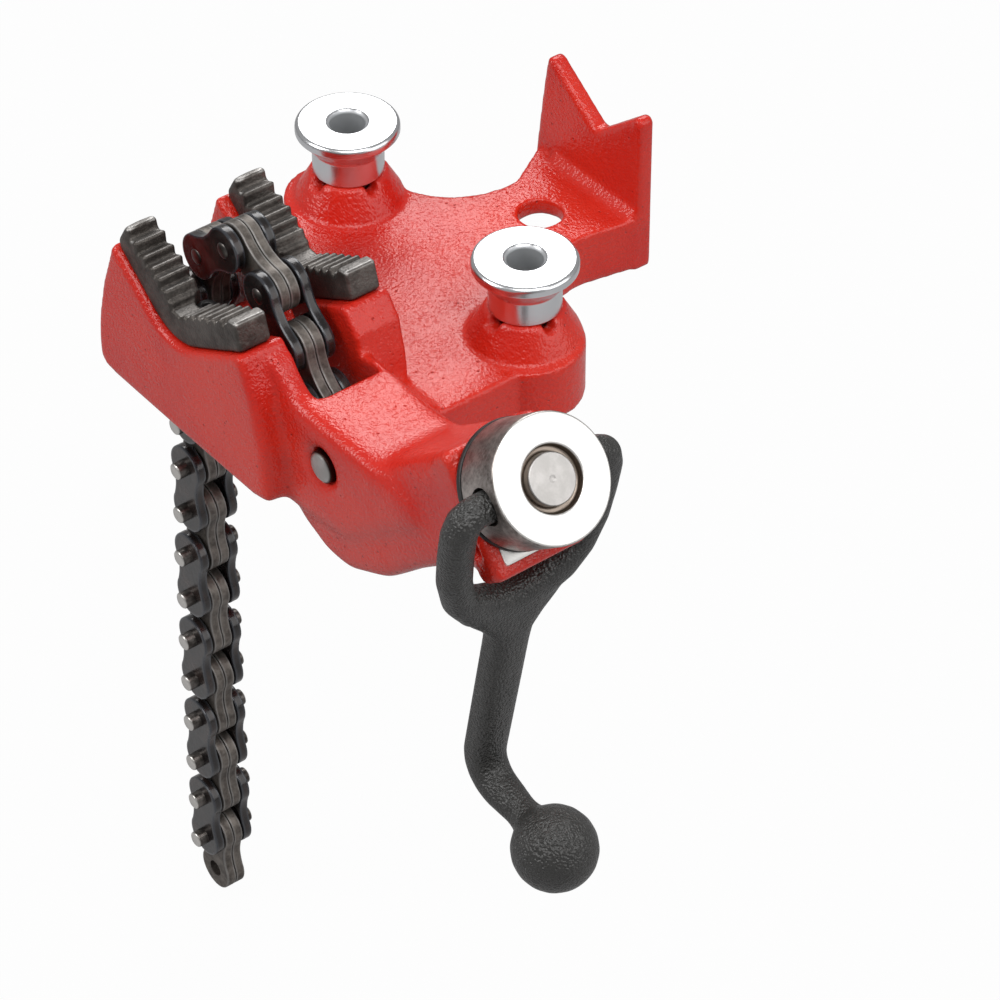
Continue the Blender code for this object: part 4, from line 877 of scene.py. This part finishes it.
def leaf_outline(steps=16):
    """The eight as (x, z) points about its middle, with its pins half a pitch away on X."""
    quarter = []
    for k in range(steps + 1):
        angle = math.radians(LEAF_ROUND_DEG) * (1 - k / steps)
        quarter.append((CHAIN_PITCH / 2 + LEAF_RADIUS * math.cos(angle), LEAF_RADIUS * math.sin(angle)))
    join_x, join_z = quarter[0]
    waist = []
    for k in range(1, WAIST_STEPS):
        from_middle = 1 - 2 * k / WAIST_STEPS
        z = LEAF_WAIST + (join_z - LEAF_WAIST) * abs(from_middle) ** WAIST_CURVE
        waist.append((join_x * from_middle, z))
    right = quarter + [(x, -z) for x, z in reversed(quarter[:-1])]
    lower = [(x, -z) for x, z in waist]
    left = [(-x, -z) for x, z in right]
    upper = [(-x, z) for x, z in waist]
    return right + lower + left + upper


def inset(outline, distance):
    """The outline with each point moved inwards, at right angles to the line between its neighbours."""
    count = len(outline)
    points = [Vector(point) for point in outline]
    moved = []
    for i in range(count):
        along = (points[(i + 1) % count] - points[i - 1]).normalized()
        moved.append(points[i] + Vector((along.y, -along.x)) * distance)
    return [(point.x, point.y) for point in moved]


def make_leaf(name, thickness, edge, material, holes):
    """One leaf. Each level is an inset, a depth and whether it belongs to the rim."""
    outline = leaf_outline()
    levels = [(2.6 * edge, 0.0, 0.0), (1.0 * edge, 0.0, 1.0), (0.3 * edge, 0.3 * edge, 1.0), (0.0, edge, 1.0),
              (0.0, 2.6 * edge, 0.0)]
    levels += [(i, thickness - y, mark) for i, y, mark in reversed(levels)]
    bm = bmesh.new()
    mark_layer = bm.verts.layers.float.new("rim")
    rings = []
    for distance, y, mark in levels:
        ring = []
        for x, z in inset(outline, distance):
            vertex = bm.verts.new((x, y - thickness / 2, z))
            vertex[mark_layer] = mark
            ring.append(vertex)
        rings.append(ring)
    bridge(bm, rings)
    leaf = mesh_object(name, bm, material)
    for side in (-1, 1) if holes else ():
        middle = Vector((side * CHAIN_PITCH / 2, 0, 0))
        drill(leaf, LEAF_HOLE, -9 * MM, 9 * MM, axis_place(middle, ALONG_PIPE), 28)
    return shade(leaf, 32)


def make_pin(name, half, riveted):
    radius = CHAIN_PIN_RADIUS
    lip = 0.55 * MM if riveted else 0.5 * MM
    end = [(0, half), (radius - lip * 1.6, half), (radius - lip * 0.4, half - lip * 0.6),
           (radius, half - lip * 1.4)]
    profile = [(0, -half)] + [(r, -y) for r, y in end[1:]] + list(reversed(end))
    pin = lathe(name, profile, axis_place(Vector((0, 0, 0)), ALONG_PIPE), pin_steel.material, 28)
    limit = half - lip * 1.1
    shine = 0.05 if riveted else 1.0
    paint(pin, "bright", lambda point, normal: shine if abs(point.y) > limit else 0.0)
    return pin


outer_leaf = make_leaf("outer_leaf", OUTER_THICKNESS, OUTER_EDGE, black_leaf.material, False)
inner_leaf = make_leaf("inner_leaf", INNER_THICKNESS, INNER_EDGE, bare_leaf.material, True)
short_pin = make_pin("short_pin", SHORT_PIN_HALF, True)
long_pin = make_pin("long_pin", LONG_PIN_HALF, False)

# %% [markdown]
# The link as a small program
#
# The tree takes one leaf and up to two pins. A mesh line gives the places of the leaves across the
# chain, and each pin is moved to its end of the link. Sizes are inputs, so one tree makes all four
# kinds of link.


# %% Link tree
def make_link_tree():
    tree = bpy.data.node_groups.new("leaf_link", "GeometryNodeTree")
    face = tree.interface
    face.new_socket("Geometry", in_out="INPUT", socket_type="NodeSocketGeometry")
    for name in ("Leaf", "First pin", "Second pin"):
        face.new_socket(name, in_out="INPUT", socket_type="NodeSocketObject")
    for name in ("Leaf spacing", "Pitch"):
        face.new_socket(name, in_out="INPUT", socket_type="NodeSocketFloat")
    for name in ("Leaf finish", "Pin finish"):
        face.new_socket(name, in_out="INPUT", socket_type="NodeSocketMaterial")
    face.new_socket("Geometry", in_out="OUTPUT", socket_type="NodeSocketGeometry")
    made, linked = tree.nodes.new, tree.links.new
    given = made("NodeGroupInput").outputs
    result = made("NodeGroupOutput")

    def vector_of(axis, value):
        node = made("ShaderNodeCombineXYZ")
        linked(value, node.inputs[axis])
        return node.outputs[0]

    def times(value, factor):
        node = made("ShaderNodeMath")
        node.operation = "MULTIPLY"
        linked(value, node.inputs[0])
        node.inputs[1].default_value = factor
        return node.outputs[0]

    leaf_info = made("GeometryNodeObjectInfo")
    linked(given["Leaf"], leaf_info.inputs["Object"])
    line = made("GeometryNodeMeshLine")
    line.inputs["Count"].default_value = 2
    linked(vector_of("Y", times(given["Leaf spacing"], -0.5)), line.inputs["Start Location"])
    linked(vector_of("Y", given["Leaf spacing"]), line.inputs["Offset"])
    leaves = made("GeometryNodeInstanceOnPoints")
    linked(line.outputs["Mesh"], leaves.inputs["Points"])
    linked(leaf_info.outputs["Geometry"], leaves.inputs["Instance"])
    joined = made("GeometryNodeJoinGeometry")

    def finished(geometry, finish):
        real = made("GeometryNodeRealizeInstances")
        coat = made("GeometryNodeSetMaterial")
        linked(geometry, real.inputs[0])
        linked(real.outputs[0], coat.inputs["Geometry"])
        linked(given[finish], coat.inputs["Material"])
        linked(coat.outputs[0], joined.inputs[0])

    finished(leaves.outputs[0], "Leaf finish")
    for name, share in (("First pin", -0.5), ("Second pin", 0.5)):
        pin_info = made("GeometryNodeObjectInfo")
        linked(given[name], pin_info.inputs["Object"])
        moved = made("GeometryNodeTransform")
        linked(pin_info.outputs["Geometry"], moved.inputs["Geometry"])
        linked(vector_of("X", times(given["Pitch"], share)), moved.inputs["Translation"])
        finished(moved.outputs[0], "Pin finish")
    linked(joined.outputs[0], result.inputs[0])
    return tree


link_tree = make_link_tree()
link_inputs = {item.name: item.identifier
               for item in link_tree.interface.items_tree if item.in_out == "INPUT"}
print("link inputs:", sorted(link_inputs))

# %% [markdown]
# Laying the chain
#
# Each link is made once about its own middle, then its mesh is turned and moved onto its two pins. Its
# object stays at the origin, because the joints move the object. The links of the hanging tail have long
# pins, except for the first one's upper pin, which is still between the walls.

# %% Chain
LONG_PINNED = 18 * MM


def has_long_pins(name):
    low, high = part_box(name)
    return high.y - low.y > LONG_PINNED


holder_mesh = bpy.data.meshes.new("link_start")
first_tail_link = next(name for name in link_names if has_long_pins(name))


def make_link(i):
    name = link_names[i]
    outer = name.startswith("outer")
    link = bpy.data.objects.new(name + "_dressed", holder_mesh.copy())
    bpy.context.scene.collection.objects.link(link)
    program = link.modifiers.new("link", "NODES")
    program.node_group = link_tree
    values = {"Leaf": outer_leaf if outer else inner_leaf, "Pitch": CHAIN_PITCH,
              "Leaf spacing": OUTER_SPACING if outer else INNER_SPACING,
              "Leaf finish": (black_leaf if outer else bare_leaf).material, "Pin finish": pin_steel.material}
    if outer:
        values["First pin"] = long_pin if has_long_pins(name) and name != first_tail_link else short_pin
        values["Second pin"] = long_pin if has_long_pins(name) else short_pin
    for key, value in values.items():
        program[link_inputs[key]] = value
    settle(link)
    low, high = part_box(name)
    start, end = chain_pins[i], chain_pins[i + 1]
    middle = (start + end) / 2
    middle.y = (low.y + high.y) / 2
    heading = math.atan2(end.z - start.z, end.x - start.x)
    turn = Matrix.Rotation(-heading, 4, "Y")
    link.data.transform(Matrix.Translation(middle) @ turn)
    return finish_piece(link, f"link_{i + 1:02d}", "black_plate" if outer else "link_steel", name)


for i in range(len(link_names)):
    make_link(i)
for obj in (outer_leaf, inner_leaf, short_pin, long_pin):
    bpy.data.objects.remove(obj)

# %% [markdown]
# Floor, light and camera
#
# The photograph has a white ground. The floor is pale and lies well below the flange, under the end of
# the chain. Seen directly it is almost white, but it still takes the vise's soft shadow. A wide lamp
# behind the vise puts the pale sheen on every face that looks up, and one on the right fills the bright
# face of the nut. The lamp overhead and the one on the left light the colours evenly.

# %% Floor
FLOOR_HALF = 6.0
FLOOR_GAP = 2 * MM
floor_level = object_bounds()[0].z - FLOOR_GAP
SEEN_WHITE, MIRRORED_WHITE = 0.97, 0.08
ground = Finish("floor")
seen = ground.add("ShaderNodeLightPath", {}, {}, "Is Camera Ray")
mirrored = ground.add("ShaderNodeLightPath", {}, {}, "Is Glossy Ray")
ground.set(Base_Color=(0.38, 0.38, 0.385), Roughness=0.7)
diffuse = Signal(ground, ground.shader.outputs[0])
glow = ground.add("ShaderNodeEmission", {}, {"Color": (1, 1, 1), "Strength": 1.0})
whitened = seen * SEEN_WHITE + mirrored * MIRRORED_WHITE
mixed = ground.add("ShaderNodeMixShader", {}, {0: whitened, 1: diffuse, 2: glow})
ground.tree.links.new(mixed.socket, ground.tree.nodes["Material Output"].inputs["Surface"])
floor_mesh = bmesh.new()
bmesh.ops.create_grid(floor_mesh, x_segments=2, y_segments=2, size=FLOOR_HALF)
floor = mesh_object("floor", floor_mesh, ground.material)
floor.location.z = floor_level
floor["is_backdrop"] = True

# %% World
# It lights the vise evenly at this level. Seen directly, past the floor's far edge, it is white.
WORLD_LEVEL = 0.34
world = bpy.data.worlds.new("studio")
bpy.context.scene.world = world
world.use_nodes = True
world_nodes = world.node_tree
sky = world_nodes.nodes["Background"]
sky.inputs["Color"].default_value = (1, 1, 1, 1)
sky.inputs["Strength"].default_value = WORLD_LEVEL
world_ray = world_nodes.nodes.new("ShaderNodeLightPath")
world_strength = world_nodes.nodes.new("ShaderNodeMath")
world_strength.operation = "MULTIPLY_ADD"
world_strength.inputs[1].default_value = 1.0 - WORLD_LEVEL
world_strength.inputs[2].default_value = WORLD_LEVEL
world_nodes.links.new(world_ray.outputs["Is Camera Ray"], world_strength.inputs[0])
world_nodes.links.new(world_strength.outputs[0], sky.inputs["Strength"])


# %% Lamps
VISE_MIDDLE = Vector((0.03, -0.04, 0.0))


def direction_of(azimuth_deg, elevation_deg):
    """Seen from above, azimuth 0 is in front of the vise and 90 is on the crank's side."""
    azimuth, elevation = math.radians(azimuth_deg), math.radians(elevation_deg)
    flat = math.cos(elevation)
    return Vector((math.sin(azimuth) * flat, -math.cos(azimuth) * flat, math.sin(elevation)))


def softbox(name, azimuth_deg, elevation_deg, distance, size, power):
    lamp = bpy.data.lights.new(name, "AREA")
    lamp.shape = "RECTANGLE"
    lamp.size, lamp.size_y = size
    lamp.energy = power
    obj = bpy.data.objects.new(name, lamp)
    bpy.context.scene.collection.objects.link(obj)
    away = direction_of(azimuth_deg, elevation_deg)
    obj.location = VISE_MIDDLE + away * distance
    obj.rotation_euler = (-away).to_track_quat("-Z", "Y").to_euler()


softbox("overhead", 70, 60, 1.2, (0.9, 0.7), 7.0)
softbox("left_window", -25, 38, 1.2, (0.5, 0.8), 6.5)
softbox("back_window", 232, 41, 1.5, (0.8, 0.7), 9.0)
softbox("right_window", 121, 25, 1.3, (1.2, 1.1), 6.0)

# %% Camera
camera = bpy.data.cameras.new("camera")
camera.sensor_width = 36
camera.lens = 157.81
camera.clip_end = 50
camera_object = bpy.data.objects.new("camera", camera)
bpy.context.scene.collection.objects.link(camera_object)
camera_object.location = (0.92026, -0.69556, 0.89558)
camera_object.rotation_euler = (-direction_of(51.858, 40.277)).to_track_quat("-Z", "Y").to_euler()
bpy.context.scene.camera = camera_object
bpy.context.scene.view_settings.view_transform = "Standard"

# %% [markdown]
# Sizes, then the end
#
# The dressed vise must fill the same box as its solids. Both boxes are written down for comparison.

# %% Sizes
visual_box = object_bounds()
for label, (low, high) in (("cad (mm):", cad_box), ("dressed (mm):", visual_box)):
    print(label, [round(v / MM, 1) for v in high - low])
